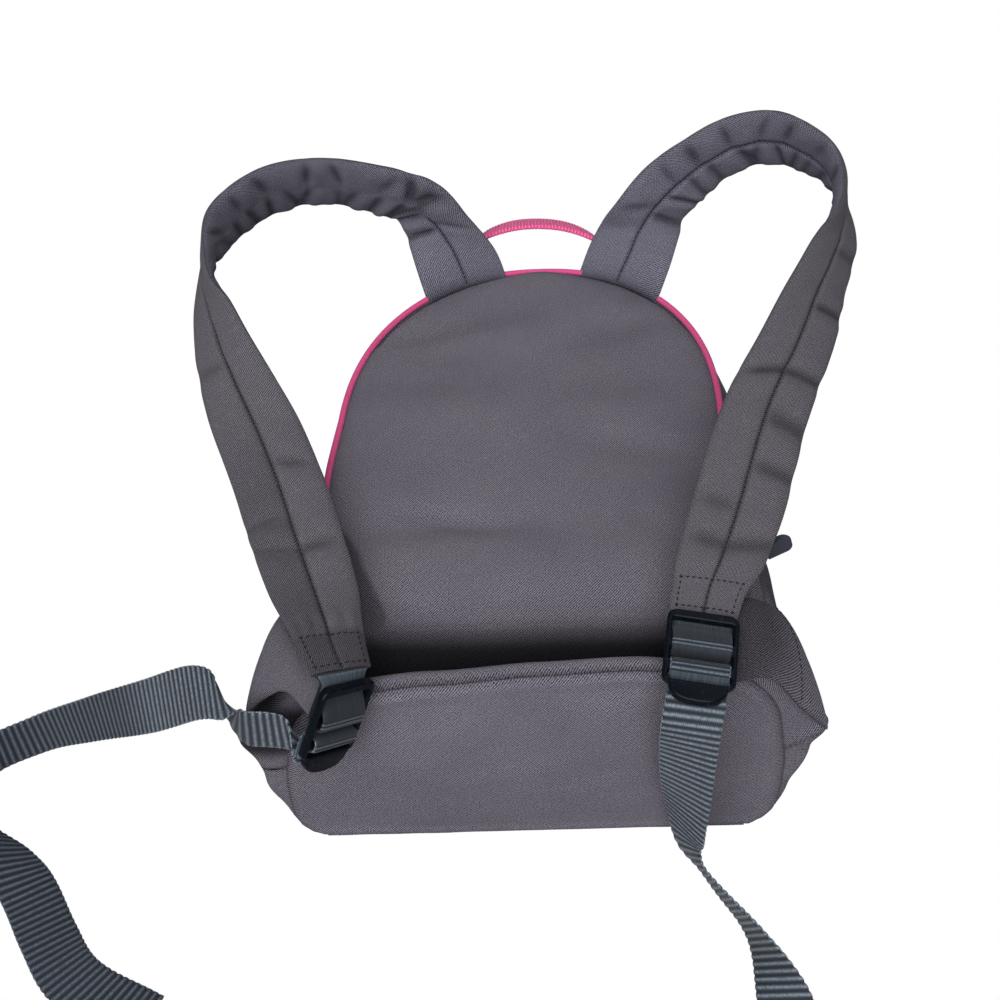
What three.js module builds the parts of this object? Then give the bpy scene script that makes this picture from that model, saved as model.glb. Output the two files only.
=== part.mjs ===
// A small arched backpack lying on its front, back panel up, with looped shoulder straps.
// Millimetres. +X is to the right, +Y runs from the base to the top of the bag, +Z is up.
// The origin is on the floor under the middle of the front panel.
import * as THREE from 'three';

const { lerp, clamp, smoothstep, degToRad } = THREE.MathUtils;
const V = (x, y, z) => new THREE.Vector3(x, y, z);

// Cloth and seams
const CLOTH = 2;
const WEBBING_WIDTH = 21;
const WEBBING_THICKNESS = 1.3;
const SEAM_GAP = 0.45;
const PIPING_RADIUS = 1.4;
const PIPING_DROP = 0.5;

// Bag outline, seen on the back panel
const BAG_HEIGHT = 257;
const SIDE_AT_BASE = 90;
const SIDE_AT_SPRING = 82.5;
const SPRING_Y = 150;
const ARCH_RISE = BAG_HEIGHT - SPRING_Y;
const ARCH_POWER = 2.25;
const BACK_CORNER_CUT = 16;
const FRONT_CORNER_CUT = 7;
const CORNER_RUN = 22;
const TOP_LEAN = 10;
const LEAN_FROM_Y = 120;
const BASE_SHIFT = -2;
const REST_Y = 95;

// Base panel: rounder at its upper corners than at the floor
const BASE_DEPTH = 90;
const BASE_LEAN = 5;
const BASE_BULGE = 5;
const BASE_REACH = 93;
const BASE_TOP = { straight: 74, power: 3.2 };
const BASE_FLOOR = { straight: 85, power: 7 };

// Heights of the back panel: its seam, the stiff lip over the base seam and the hollow behind it
const BACK_SEAM_Z = 86;
const BACK_RISE = 0.06;
const LIP_END_Y = 10;
const HOLLOW_Y = 18;
const HOLLOW_DEPTH = 6;
const HOLLOW_FADE = 35;
const CROWN = 3;

// Front panel: flat on the floor, with a raised edge
const FRONT_EDGE_RISE = 7;
const FRONT_EDGE_RUN = 24;
const FRONT_BASE_RISE = 1.5;
const FRONT_BASE_RUN = 10;
const FRONT_RINGS = [1, 0.95, 0.88, 0.76];
const SOLE = {
  middleY: 118,
  relief: 0.35,
  corners: [{ x: -54, y: 40 }, { x: -44, y: 196 }, { x: 52, y: 196 }, { x: 54, y: 40 }],
};

// Zip in the middle of the gusset
const ZIP_HALF_WIDTH = 4;
const ZIP_FROM_Y = 75;
const ZIP_THICKNESS = 1.4;
const ZIP_RECESS = 0.3;
const SLIDER_Y = 104;
const SLIDER = { length: 11, width: 8, height: 4.5 };
const PULL = { length: 13, width: 8, thickness: 3, tilt: 48 };

// Shoulder straps and buckles
const STRAP_WIDTH = 36;
const STRAP_PAD = 6.5;
const STRAP_STITCH_SHARE = 0.42;
const BUCKLE = {
  halfWidth: 13, rail: 2, thickness: 3.4, length: 36, shoulder: 26.5, corner: 3, tongueHalf: 10.5,
};
const SLOTS = [
  { from: 3.5, to: 12.5 },
  { from: 15.5, to: 21.5 },
  { from: 24.5, to: 28 },
];

// Heights where the outline is sampled, up one side
const SIDE_HEIGHTS = [8, 10.5, 16, 22, 30, 42, 54, 72, ZIP_FROM_Y, 100, 125];
const ARCH_ANGLES = [0, 8, 16, 24, 32, 40, 48, 56, 63, 70, 77, 83.5];
const ARCH_HEIGHTS = ARCH_ANGLES.map((angle) => {
  const share = Math.sin(degToRad(angle)) ** (2 / ARCH_POWER);
  return SPRING_Y + ARCH_RISE * share;
});
const HEIGHTS = [...SIDE_HEIGHTS, ...ARCH_HEIGHTS];

// Height of the lip over the base seam: lower on the left, where the bag has slumped
const LIP = [
  { x: -75, z: 83 },
  { x: -40, z: 86.5 },
  { x: 0, z: 91.5 },
  { x: 36, z: 94.5 },
  { x: 56, z: 93 },
  { x: 75, z: 89.5 },
];

// How far the gusset swells out at each height, and how pointed its middle seam is there
const GUSSET_SWELL = [
  { y: 8, out: 18, power: 1.4 },
  { y: 10.5, out: 23, power: 1.4 },
  { y: 16, out: 21.5, power: 1.4 },
  { y: 22, out: 18.5, power: 1.5 },
  { y: 30, out: 15, power: 1.8 },
  { y: 60, out: 11.5, power: 2.6 },
  { y: 150, out: 9, power: 2.6 },
  { y: 257, out: 7, power: 2.6 },
];

// The half of the gusset by the floor is fuller than the half by the back panel, most at the base
const FRONT_FULLNESS = 0.8;
const BASE_FULLNESS = 1.3;

// Soft dents (positive depth) and swells (negative depth) of the back panel
const DENTS = [
  { at: 'upper left dip', x: -42, y: 196, reachX: 34, reachY: 15, depth: 2.4 },
  { at: 'upper right dip', x: 48, y: 185, reachX: 26, reachY: 22, depth: 2.2 },
  { at: 'right hollow', x: 52, y: 118, reachX: 34, reachY: 20, depth: 3 },
  { at: 'left crease', x: -46, y: 84, reachX: 36, reachY: 8, depth: 2.6 },
  { at: 'middle swell', x: -6, y: 140, reachX: 42, reachY: 34, depth: -2.2 },
  { at: 'low swell', x: 8, y: 62, reachX: 50, reachY: 16, depth: -2.4 },
];

// Shoulder straps: middle of the strap and direction from its inner to its outer edge
const STRAP_RIGHT = [
  { at: 'root', centre: [45.6, 240.6, 103.2], across: [0.83, -0.56, 0], width: 41, pad: 1.6 },
  { at: 'lift', centre: [57, 264, 116], across: [0.97, -0.25, -0.04], width: 38, pad: 5 },
  { at: 'rise', centre: [64, 267, 128], across: [0.91, 0.17, -0.37] },
  { at: 'rise', centre: [74, 268, 140], across: [0.81, 0.13, -0.57] },
  { at: 'bend', centre: [87, 268, 152], across: [0.58, 0.28, -0.76] },
  { at: 'bend', centre: [102, 268, 161], across: [0.39, 0.3, -0.87] },
  { at: 'crest', centre: [119, 263, 166], across: [0.2, 0.35, -0.92] },
  { at: 'crest', centre: [131, 251, 166], across: [0.05, 0.48, -0.88] },
  { at: 'turn', centre: [140, 237, 164], across: [0.04, 0.65, -0.76] },
  { at: 'over', centre: [142, 221, 158], across: [0.2, 0.86, -0.48] },
  { at: 'slope', centre: [135, 194, 151], across: [0.72, 0.56, -0.42] },
  { at: 'slope', centre: [122, 167, 143], across: [0.84, 0.4, -0.37] },
  { at: 'middle', centre: [111, 142, 136], across: [0.94, 0.18, -0.29] },
  { at: 'middle', centre: [98, 118, 128], across: [0.97, 0.01, -0.25] },
  { at: 'low', centre: [88, 94, 122], across: [0.98, -0.07, -0.19] },
  { at: 'low', centre: [78, 67, 113], across: [0.98, -0.1, -0.15] },
  { at: 'neck', centre: [68, 43, 106], across: [0.97, -0.12, -0.1], width: 33, pad: 5.5 },
  { at: 'box', centre: [63.2, 33, 103.6], across: [0.97, -0.16, -0.06], width: 27, pad: 4.4 },
  { at: 'end', centre: [59.4, 21.4, 101.3], across: [0.975, -0.16, -0.08], width: 25, pad: 3.6 },
];
const STRAP_LEFT = [
  { at: 'root', centre: [-26.4, 242.4, 103.3], across: [-0.885, -0.465, 0], width: 44, pad: 1.6 },
  { at: 'lift', centre: [-33, 257, 115], across: [-1, -0.06, -0.02], width: 40, pad: 5 },
  { at: 'rise', centre: [-40, 260, 130], across: [-0.96, 0.2, -0.19] },
  { at: 'fold', centre: [-51, 258, 141], across: [-0.68, 0.29, -0.67] },
  { at: 'fold', centre: [-68, 257, 148], across: [-0.34, 0.41, -0.85] },
  { at: 'crest', centre: [-91, 253, 155], across: [-0.07, 0.46, -0.89] },
  { at: 'crest', centre: [-113, 245, 156], across: [0.11, 0.48, -0.87] },
  { at: 'bend', centre: [-128, 232, 153], across: [0.21, 0.56, -0.8] },
  { at: 'turn', centre: [-136, 220, 149], across: [0.13, 0.61, -0.78] },
  { at: 'over', centre: [-140, 201, 140], across: [-0.23, 0.83, -0.51] },
  { at: 'over', centre: [-136, 183, 135], across: [-0.58, 0.62, -0.52] },
  { at: 'slope', centre: [-130, 163, 129], across: [-0.77, 0.44, -0.46] },
  { at: 'slope', centre: [-120, 138, 121], across: [-0.94, 0.16, -0.32] },
  { at: 'middle', centre: [-110, 115, 115], across: [-0.98, -0.12, -0.13] },
  { at: 'low', centre: [-100, 90, 109], across: [-0.98, -0.13, -0.14] },
  { at: 'low', centre: [-92, 66, 104], across: [-0.98, -0.1, -0.1] },
  { at: 'neck', centre: [-83, 39, 101], across: [-0.97, -0.17, 0.05], width: 33, pad: 5.5 },
  { at: 'box', centre: [-77, 19.5, 103], across: [-0.93, -0.28, 0.2], width: 27, pad: 4.4 },
  { at: 'box', centre: [-73.5, 8, 103], across: [-0.88, -0.36, 0.3], width: 25.5, pad: 4 },
  { at: 'end', centre: [-70, -0.6, 101], across: [-0.76, -0.5, 0.4], width: 25, pad: 3.6 },
];
const STRAP_STEPS = 2;

// Buckles: middle of the top edge, then the directions to the right and down the buckle
const BUCKLE_RIGHT = {
  middle: [59.3, 19, 104.4],
  right: [0.97, -0.16, -0.08],
  down: [-0.176, -0.955, -0.24],
};
const BUCKLE_LEFT = {
  middle: [-67, -5, 99.5],
  right: [0.6, 0.62, -0.49],
  down: [-0.357, -0.341, -0.87],
};

// Webbing runs inside a buckle: distance down the buckle and height over its back face
const LOOP_RUN = [
  { down: 0.6, up: -1.05 }, { down: 3, up: -1.05 }, { down: 5.2, up: -0.3 }, { down: 8.6, up: 2.4 },
  { down: 11.2, up: 4.1 }, { down: 12.4, up: 4.55 }, { down: 14, up: 4.6 }, { down: 15.8, up: 4.5 },
  { down: 16.6, up: 3.5 }, { down: 16.75, up: 1.6 }, { down: 16.5, up: -1.3 }, { down: 15.3, up: -2.55 },
  { down: 13, up: -2.8 }, { down: 0.6, up: -2.8 },
];
const ADJUSTER_RUN = [
  { down: 32, up: -2.7 }, { down: 22.8, up: -2.7 }, { down: 21.1, up: -2.1 }, { down: 20.4, up: -0.7 },
  { down: 20.35, up: 1.8 }, { down: 20.5, up: 3.6 }, { down: 21.3, up: 4.55 }, { down: 23, up: 4.6 },
  { down: 24.7, up: 4.55 }, { down: 25.5, up: 3.6 }, { down: 25.65, up: 1.7 }, { down: 25.8, up: 0.2 },
  { down: 26.8, up: -0.85 }, { down: 28.6, up: -1.05 }, { down: 34, up: -1.1 },
];

// Free tails of the adjusters, from the buckle to the folded end
const TAIL_RIGHT = [
  { at: 'lip', centre: [51.2, -22, 92.5], across: [0.98, -0.2, 0] },
  { at: 'drop', centre: [51.4, -20, 70], across: [0.9, -0.43, 0] },
  { at: 'hang', centre: [52, -16.5, 48], across: [0.8, -0.6, 0] },
  { at: 'twist', centre: [53.8, -14.5, 26], across: [0.57, -0.82, 0.05] },
  { at: 'turn', centre: [56.5, -18, 13.6], across: [0.3, -0.8, 0.52] },
  { at: 'stand', centre: [63.5, -33, 10.6], across: [0.05, -0.5, 0.86] },
  { at: 'lean', centre: [74, -50, 9.2], across: [0.62, -0.25, 0.74] },
  { at: 'flat', centre: [81.5, -69, 5], across: [0.96, 0, 0.26] },
  { at: 'floor', centre: [84.5, -88, 1.6], across: [1, 0, 0.02] },
  { at: 'end', centre: [84.5, -104, 1.5], across: [1, 0, 0] },
];
const TAIL_LEFT = [
  { at: 'under', centre: [-84, -12.6, 70.8], across: [0.4, 0.5, -0.77] },
  { at: 'leave', centre: [-90, -8.6, 77], across: [0, 0.1, -0.99] },
  { at: 'side', centre: [-98.5, -5.5, 78], across: [-0.06, 0.06, -0.99] },
  { at: 'rise', centre: [-106, -2.6, 77.5], across: [-0.12, 0.2, -0.97] },
  { at: 'flip', centre: [-112, 2.5, 79.5], across: [-0.2, 0.64, -0.74] },
  { at: 'over', centre: [-119, 8.5, 79.5], across: [-0.25, 0.93, -0.25] },
  { at: 'strip', centre: [-127, 13.5, 75.5], across: [-0.2, 0.87, 0.42] },
  { at: 'slope', centre: [-150, 25.5, 58], across: [-0.14, 0.8, 0.58] },
  { at: 'fall', centre: [-182, 38, 31.5], across: [-0.12, 0.7, 0.7] },
  { at: 'land', centre: [-208, 43, 15.5], across: [-0.08, 0.38, 0.92] },
  { at: 'turn', centre: [-229, 34, 11.5], across: [0, 0.05, 1] },
  { at: 'back', centre: [-229, 11, 10.9], across: [-0.42, -0.14, 0.88] },
  { at: 'lay', centre: [-216, -6, 6.3], across: [-0.84, -0.3, 0.44] },
  { at: 'floor', centre: [-203, -22, 2.1], across: [-0.86, -0.5, 0.03] },
  { at: 'run', centre: [-191, -42, 1.7], across: [-0.86, -0.5, 0] },
  { at: 'bend', centre: [-177, -60, 2.9], across: [-0.72, -0.68, -0.1] },
  { at: 'end', centre: [-148, -76, 1.8], across: [-0.45, -0.88, -0.02] },
];
const TAIL_STEPS = 3;

// Grab handle at the top of the arch: its ends are sewn on the gusset behind the straps
const HANDLE_WIDTH = 16;
const HANDLE_THICKNESS = 2.4;
const HANDLE_ENDS = { left: { side: -1, y: 249.3 }, right: { side: 1, y: 247.4 } };
const HANDLE_SEWN = [{ share: 0.22 }, { share: 0.08 }];
const HANDLE_ARCH = [
  { at: 'left rise', centre: [-27, 266, 99], across: [0.6, 0.75, -0.28] },
  { at: 'left bend', centre: [-20, 275, 107], across: [0.2, 0.87, -0.45] },
  { at: 'left arch', centre: [-6, 279, 113], across: [0.05, 0.88, -0.47] },
  { at: 'top', centre: [10, 280, 115], across: [0, 0.88, -0.47] },
  { at: 'right arch', centre: [26, 279, 113], across: [-0.05, 0.88, -0.47] },
  { at: 'right bend', centre: [40, 275, 107], across: [-0.2, 0.87, -0.45] },
  { at: 'right rise', centre: [47.5, 264.5, 99], across: [-0.6, 0.75, -0.28] },
];
const HANDLE_STEPS = 2;

// Anchor wings: rows from the gusset over the piping to the tip that lies under the buckle
const WING_THICKNESS = 1.4;
const WING_TIP_UP = -3.9;
const WING_RIGHT = {
  tip: { across: 3, down: [5, 12, 19, 27] },
  rows: [
    [[94, 40, 83], [100.5, 30, 76.5], [106, 17.5, 64], [110.5, 7.5, 52]],
    [[92.5, 40, 92], [95.5, 29, 90], [97, 17, 83.5], [96.5, 5.5, 75.5]],
    [[78, 36, 97.5], [82, 25, 97], [83.5, 13, 95], [81.5, 2, 91.5]],
  ],
};
const WING_LEFT = {
  tip: { across: -3, down: [6, 11, 16, 21] },
  rows: [
    [[-96.5, 40, 84], [-100.5, 31, 82.5], [-104.5, 21, 79.5], [-108, 11.5, 75.5]],
    [[-94, 36, 95], [-97.5, 26, 95], [-100, 15, 92], [-101, 5, 86]],
    [[-87, 24, 98], [-89, 14, 98.5], [-91, 5, 96], [-92.5, -3, 89]],
  ],
};

// Finishes
const TWILL = new THREE.MeshStandardMaterial({ color: 0x5a5459, roughness: 0.92 });
const PINK = new THREE.MeshStandardMaterial({ color: 0xdd4a86, roughness: 0.7 });
const GREY_WEBBING = new THREE.MeshStandardMaterial({ color: 0x5d6a6f, roughness: 0.8 });
const BLACK_PLASTIC = new THREE.MeshStandardMaterial({ color: 0x14181b, roughness: 0.35 });
const ZIP_GREY = new THREE.MeshStandardMaterial({ color: 0x3d3b40, roughness: 0.75 });

// Value of a column in a table, eased between the rows
function lookUp(table, key, column, at) {
  const last = table.length - 1;
  if (at <= table[0][key]) return table[0][column];
  if (at >= table[last][key]) return table[last][column];
  const next = table.findIndex((row) => row[key] >= at);
  const share = smoothstep(at, table[next - 1][key], table[next][key]);
  return lerp(table[next - 1][column], table[next][column], share);
}

// Closed body from outer points, triangles and the sign that turns its faces out
function closedBody(points, triangles) {
  let volume = 0;
  for (const [a, b, c] of triangles) volume += points[a].dot(points[b].clone().cross(points[c]));
  const index = triangles.flatMap(([a, b, c]) => (volume > 0 ? [a, b, c] : [a, c, b]));
  const geometry = new THREE.BufferGeometry();
  const numbers = points.flatMap((p) => p.toArray());
  geometry.setAttribute('position', new THREE.Float32BufferAttribute(numbers, 3));
  geometry.setIndex(index);
  geometry.computeVertexNormals();
  return geometry;
}

// Outward or inward direction of a grid of points at one of its points
function gridNormal(rows, i, j) {
  const lastRow = rows.length - 1;
  const lastColumn = rows[0].length - 1;
  const along = rows[Math.min(i + 1, lastRow)][j].clone().sub(rows[Math.max(i - 1, 0)][j]);
  const across = rows[i][Math.min(j + 1, lastColumn)].clone().sub(rows[i][Math.max(j - 1, 0)]);
  return along.cross(across).normalize();
}

// Directions of a grid of points that lead to the side of the point named inside
function inward(rows, inside) {
  let lean = 0;
  const normals = rows.map((row, i) => row.map((p, j) => gridNormal(rows, i, j)));
  rows.forEach((row, i) => row.forEach((p, j) => {
    lean += normals[i][j].dot(inside.clone().sub(p));
  }));
  return normals.map((row) => row.map((normal) => normal.multiplyScalar(Math.sign(lean))));
}

// Wall of even thickness from a grid of outer points along the directions given for them
function wall(rows, thickness, directions) {
  const columns = rows[0].length;
  const pushed = (p, i, j) => p.clone().addScaledVector(directions[i][j], thickness);
  const inner = rows.map((row, i) => row.map((p, j) => pushed(p, i, j)));
  const points = [...rows.flat(), ...inner.flat()];
  const under = rows.length * columns;
  const triangles = [];
  const quad = (a, b, c, d) => triangles.push([a, b, c], [a, c, d]);
  for (let i = 0; i + 1 < rows.length; i += 1) {
    for (let j = 0; j + 1 < columns; j += 1) {
      const a = i * columns + j;
      const b = a + columns;
      quad(a, b, b + 1, a + 1);
      quad(under + a, under + a + 1, under + b + 1, under + b);
    }
  }
  const rim = [];
  for (let j = 0; j + 1 < columns; j += 1) rim.push(j);
  for (let i = 0; i + 1 < rows.length; i += 1) rim.push(i * columns + columns - 1);
  for (let j = columns - 1; j > 0; j -= 1) rim.push((rows.length - 1) * columns + j);
  for (let i = rows.length - 1; i > 0; i -= 1) rim.push(i * columns);
  rim.forEach((a, k) => {
    const b = rim[(k + 1) % rim.length];
    quad(a, b, under + b, under + a);
  });
  return closedBody(points, triangles);
}

// Closed band through sections that each hold an upper and a lower row of points
function band(sections) {
  const count = sections[0].upper.length;
  const ring = 2 * count;
  const points = sections.flatMap(({ upper, lower }) => [...upper, ...[...lower].reverse()]);
  const triangles = [];
  const quad = (a, b, c, d) => triangles.push([a, b, c], [a, c, d]);
  for (let i = 0; i + 1 < sections.length; i += 1) {
    for (let j = 0; j < ring; j += 1) {
      const k = (j + 1) % ring;
      quad(i * ring + j, i * ring + k, (i + 1) * ring + k, (i + 1) * ring + j);
    }
  }
  const last = (sections.length - 1) * ring;
  for (let j = 0; j + 1 < count; j += 1) {
    quad(j, ring - 1 - j, ring - 2 - j, j + 1);
    quad(last + j, last + j + 1, last + ring - 2 - j, last + ring - 1 - j);
  }
  return closedBody(points, triangles);
}

// Smooth places between the rows of a route table
function routePlaces(rows, steps) {
  const centres = new THREE.CatmullRomCurve3(rows.map((row) => V(...row.centre)));
  const acrosses = new THREE.CatmullRomCurve3(rows.map((row) => V(...row.across)));
  const spans = rows.length - 1;
  const places = [];
  for (let k = 0; k <= spans * steps; k += 1) {
    const t = k / (spans * steps);
    const row = Math.min(Math.floor(t * spans), spans - 1);
    const share = t * spans - row;
    places.push({
      centre: centres.getPoint(t),
      across: acrosses.getPoint(t),
      width: lerp(rows[row].width ?? STRAP_WIDTH, rows[row + 1].width ?? STRAP_WIDTH, share),
      pad: lerp(rows[row].pad ?? STRAP_PAD, rows[row + 1].pad ?? STRAP_PAD, share),
    });
  }
  return places;
}

// Adds the heading and the face direction to each place of a route
function withFrames(places) {
  return places.map((place, i) => {
    const before = places[Math.max(i - 1, 0)].centre;
    const after = places[Math.min(i + 1, places.length - 1)].centre;
    const heading = after.clone().sub(before).normalize();
    const across = place.across.clone().normalize();
    return { ...place, across, heading, face: across.clone().cross(heading).normalize() };
  });
}

// Flat webbing of even thickness along its places
function webbing(places, thickness, width) {
  const sections = withFrames(places).map(({ centre, across, face }) => {
    const side = (sign) => [-0.5, 0.5].map((share) => centre.clone()
      .addScaledVector(across, share * width)
      .addScaledVector(face, sign * thickness / 2));
    return { upper: side(1), lower: side(-1) };
  });
  return band(sections);
}

// Padded strap: two lobes either side of a stitched middle line
const LOBES = [
  { share: -1, fill: 0.24 }, { share: -0.82, fill: 0.82 }, { share: -0.45, fill: 1 },
  { share: 0, fill: STRAP_STITCH_SHARE },
  { share: 0.45, fill: 1 }, { share: 0.82, fill: 0.82 }, { share: 1, fill: 0.24 },
];
function paddedStrap(places) {
  const sections = withFrames(places).map(({ centre, across, face, width, pad }) => {
    const side = (sign) => LOBES.map(({ share, fill }) => centre.clone()
      .addScaledVector(across, share * width / 2)
      .addScaledVector(face, sign * fill * pad / 2));
    return { upper: side(1), lower: side(-1) };
  });
  return band(sections);
}

// Sideways shift of the outline: the arch leans to the right, the base sits a little to the left
function archShift(y) {
  const share = Math.max(0, y - LEAN_FROM_Y) / (BAG_HEIGHT - LEAN_FROM_Y);
  return TOP_LEAN * share ** 1.2 + BASE_SHIFT * (1 - smoothstep(y, 0, 80));
}

// Half the width of the bag between its side seams, with its lower corners cut round
function halfWidth(y, cornerCut = BACK_CORNER_CUT) {
  if (y > SPRING_Y) {
    const share = Math.min((y - SPRING_Y) / ARCH_RISE, 1);
    return SIDE_AT_SPRING * (1 - share ** ARCH_POWER) ** (1 / ARCH_POWER);
  }
  const side = lerp(SIDE_AT_BASE, SIDE_AT_SPRING, y / SPRING_Y);
  const cut = clamp(1 - (y - BASE_LEAN) / CORNER_RUN, 0, 1);
  return side - cornerCut * (1 - Math.sqrt(1 - cut * cut));
}

// Point of the outline on one side (-1 left, 1 right), its normal and the way the gusset swells there
function outline(side, y, cornerCut = BACK_CORNER_CUT) {
  const edge = (at) => archShift(at) + side * halfWidth(at, cornerCut);
  const step = 0.01;
  const slope = (edge(y + step) - edge(y - step)) / (2 * step);
  const normal = V(side, -side * slope, 0).normalize();
  const out = y < 2 * CORNER_RUN ? V(side, 0, 0) : normal;
  return { x: edge(y), y, normal, out };
}

// Reach of the base panel to each side, from its upper edge (share 0) to the floor (share 1)
function baseReach(share) {
  const { straight, power } = share < 0.5 ? BASE_TOP : BASE_FLOOR;
  return lerp(straight, BASE_REACH, 1 - Math.abs(2 * share - 1) ** power);
}

// Height of the back panel's seam on one side
function backSeam(side, y) {
  const lip = lookUp(LIP, 'x', 'z', side * BASE_TOP.straight);
  return lerp(lip, BACK_SEAM_Z + BACK_RISE * y, smoothstep(y, BASE_LEAN, HOLLOW_FADE));
}

// Height of the back panel at any place
function backHeight(x, y) {
  const u = clamp((x - archShift(y)) / halfWidth(y), -1, 1);
  const inner = 1 - u * u;
  const nearHollow = Math.exp(-(((y - HOLLOW_Y) / HOLLOW_FADE) ** 2));
  const hollow = HOLLOW_DEPTH * nearHollow * Math.min(1, 2 * inner);
  const crown = CROWN * smoothstep(y, 40, 130) * inner;
  const behind = BACK_SEAM_Z + BACK_RISE * y - hollow + crown;
  const middle = lerp(lookUp(LIP, 'x', 'z', x), behind, smoothstep(y, LIP_END_Y, HOLLOW_Y));
  let height = lerp(middle, backSeam(Math.sign(u) || 1, y), Math.abs(u) ** 4);
  for (const { x: dx, y: dy, reachX, reachY, depth } of DENTS) {
    const near = Math.exp(-(((x - dx) / reachX) ** 2) - (((y - dy) / reachY) ** 2));
    height -= depth * near * Math.min(1, 3 * inner);
  }
  return height;
}

// Underside of the front panel at any place: flat on the floor, raised at the edge
function frontHeight(x, y) {
  const toSide = halfWidth(y, FRONT_CORNER_CUT) - Math.abs(x - archShift(y));
  const edge = Math.min(toSide, BAG_HEIGHT - y);
  const rise = FRONT_EDGE_RISE * (1 - smoothstep(edge, 0, FRONT_EDGE_RUN)) * smoothstep(y, 0, 45);
  return Math.max(rise, FRONT_BASE_RISE * (1 - smoothstep(y, 0, FRONT_BASE_RUN)));
}

// Place on the gusset: side, height along the outline and share of the way from back to front
function gussetPoint(side, y, share) {
  const back = outline(side, y);
  const front = outline(side, y, FRONT_CORNER_CUT);
  const top = backSeam(side, y) - PIPING_DROP - PIPING_RADIUS - SEAM_GAP;
  const bottom = frontHeight(front.x, y) + CLOTH + SEAM_GAP;
  const fuller = lerp(BASE_FULLNESS, FRONT_FULLNESS, smoothstep(y, 12, 45));
  const power = lookUp(GUSSET_SWELL, 'y', 'power', y) + (share > 0.5 ? fuller : 0);
  const swell = lookUp(GUSSET_SWELL, 'y', 'out', y) * (1 - Math.abs(2 * share - 1) ** power);
  const flat = V(lerp(back.x, front.x, share), y, lerp(top, bottom, share));
  return flat.addScaledVector(back.out, swell);
}

const BAG_MIDDLE = V(0, 110, 45);

// Gusset columns all round: up the left side, over the arch and down the right side
const GUSSET_COLUMNS = [
  ...HEIGHTS.map((y) => ({ side: -1, y })),
  ...[...HEIGHTS].reverse().map((y) => ({ side: 1, y })),
];
const GUSSET_DEPTH = 78;
const ZIP_SHARE = ZIP_HALF_WIDTH / GUSSET_DEPTH;
const SEAM_SHARE = SEAM_GAP / GUSSET_DEPTH / 2;

// The first and last columns lie behind the leaning base panel and end at its edge
function gussetEnd(side, y, share) {
  const place = gussetPoint(side, y, share);
  const x = BASE_SHIFT + side * baseReach(share);
  return V(x, y - BASE_LEAN * share, place.z);
}

function gusset(from, towards) {
  const steps = [0, 0.25, 0.5, 0.75, 1];
  const rows = GUSSET_COLUMNS.map(({ side, y }) => {
    const open = y >= ZIP_FROM_Y ? ZIP_SHARE : SEAM_SHARE;
    const to = 0.5 + towards * open;
    const point = y === SIDE_HEIGHTS[0] ? gussetEnd : gussetPoint;
    return steps.map((step) => point(side, y, lerp(from, to, step)));
  });
  const directions = GUSSET_COLUMNS.map(({ side, y }) => {
    const inside = outline(side, y).out.negate();
    return steps.map(() => inside);
  });
  return wall(rows, CLOTH, directions);
}

function zipChain() {
  const half = ZIP_SHARE - SEAM_GAP / GUSSET_DEPTH;
  const rows = GUSSET_COLUMNS.filter(({ y }) => y > ZIP_FROM_Y).map(({ side, y }) => {
    const { out } = outline(side, y);
    const edge = (share) => gussetPoint(side, y, 0.5 + share).addScaledVector(out, -ZIP_RECESS);
    return [edge(-half), edge(half)];
  });
  return wall(rows, ZIP_THICKNESS, inward(rows, BAG_MIDDLE));
}

function backPanel() {
  const columns = 13;
  const inset = PIPING_RADIUS + SEAM_GAP;
  const heights = [BASE_LEAN, ...HEIGHTS.filter((y) => y !== ZIP_FROM_Y)];
  const rows = heights.map((y) => {
    const [left, right] = [-1, 1].map((side) => {
      const { x, normal } = outline(side, y);
      return V(x, y, 0).addScaledVector(y === BASE_LEAN ? V(side, 0, 0) : normal, -inset);
    });
    return Array.from({ length: columns }, (_, j) => {
      const p = left.clone().lerp(right, j / (columns - 1));
      return p.setZ(backHeight(p.x, p.y));
    });
  });
  return wall(rows, CLOTH, inward(rows, BAG_MIDDLE));
}

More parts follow.
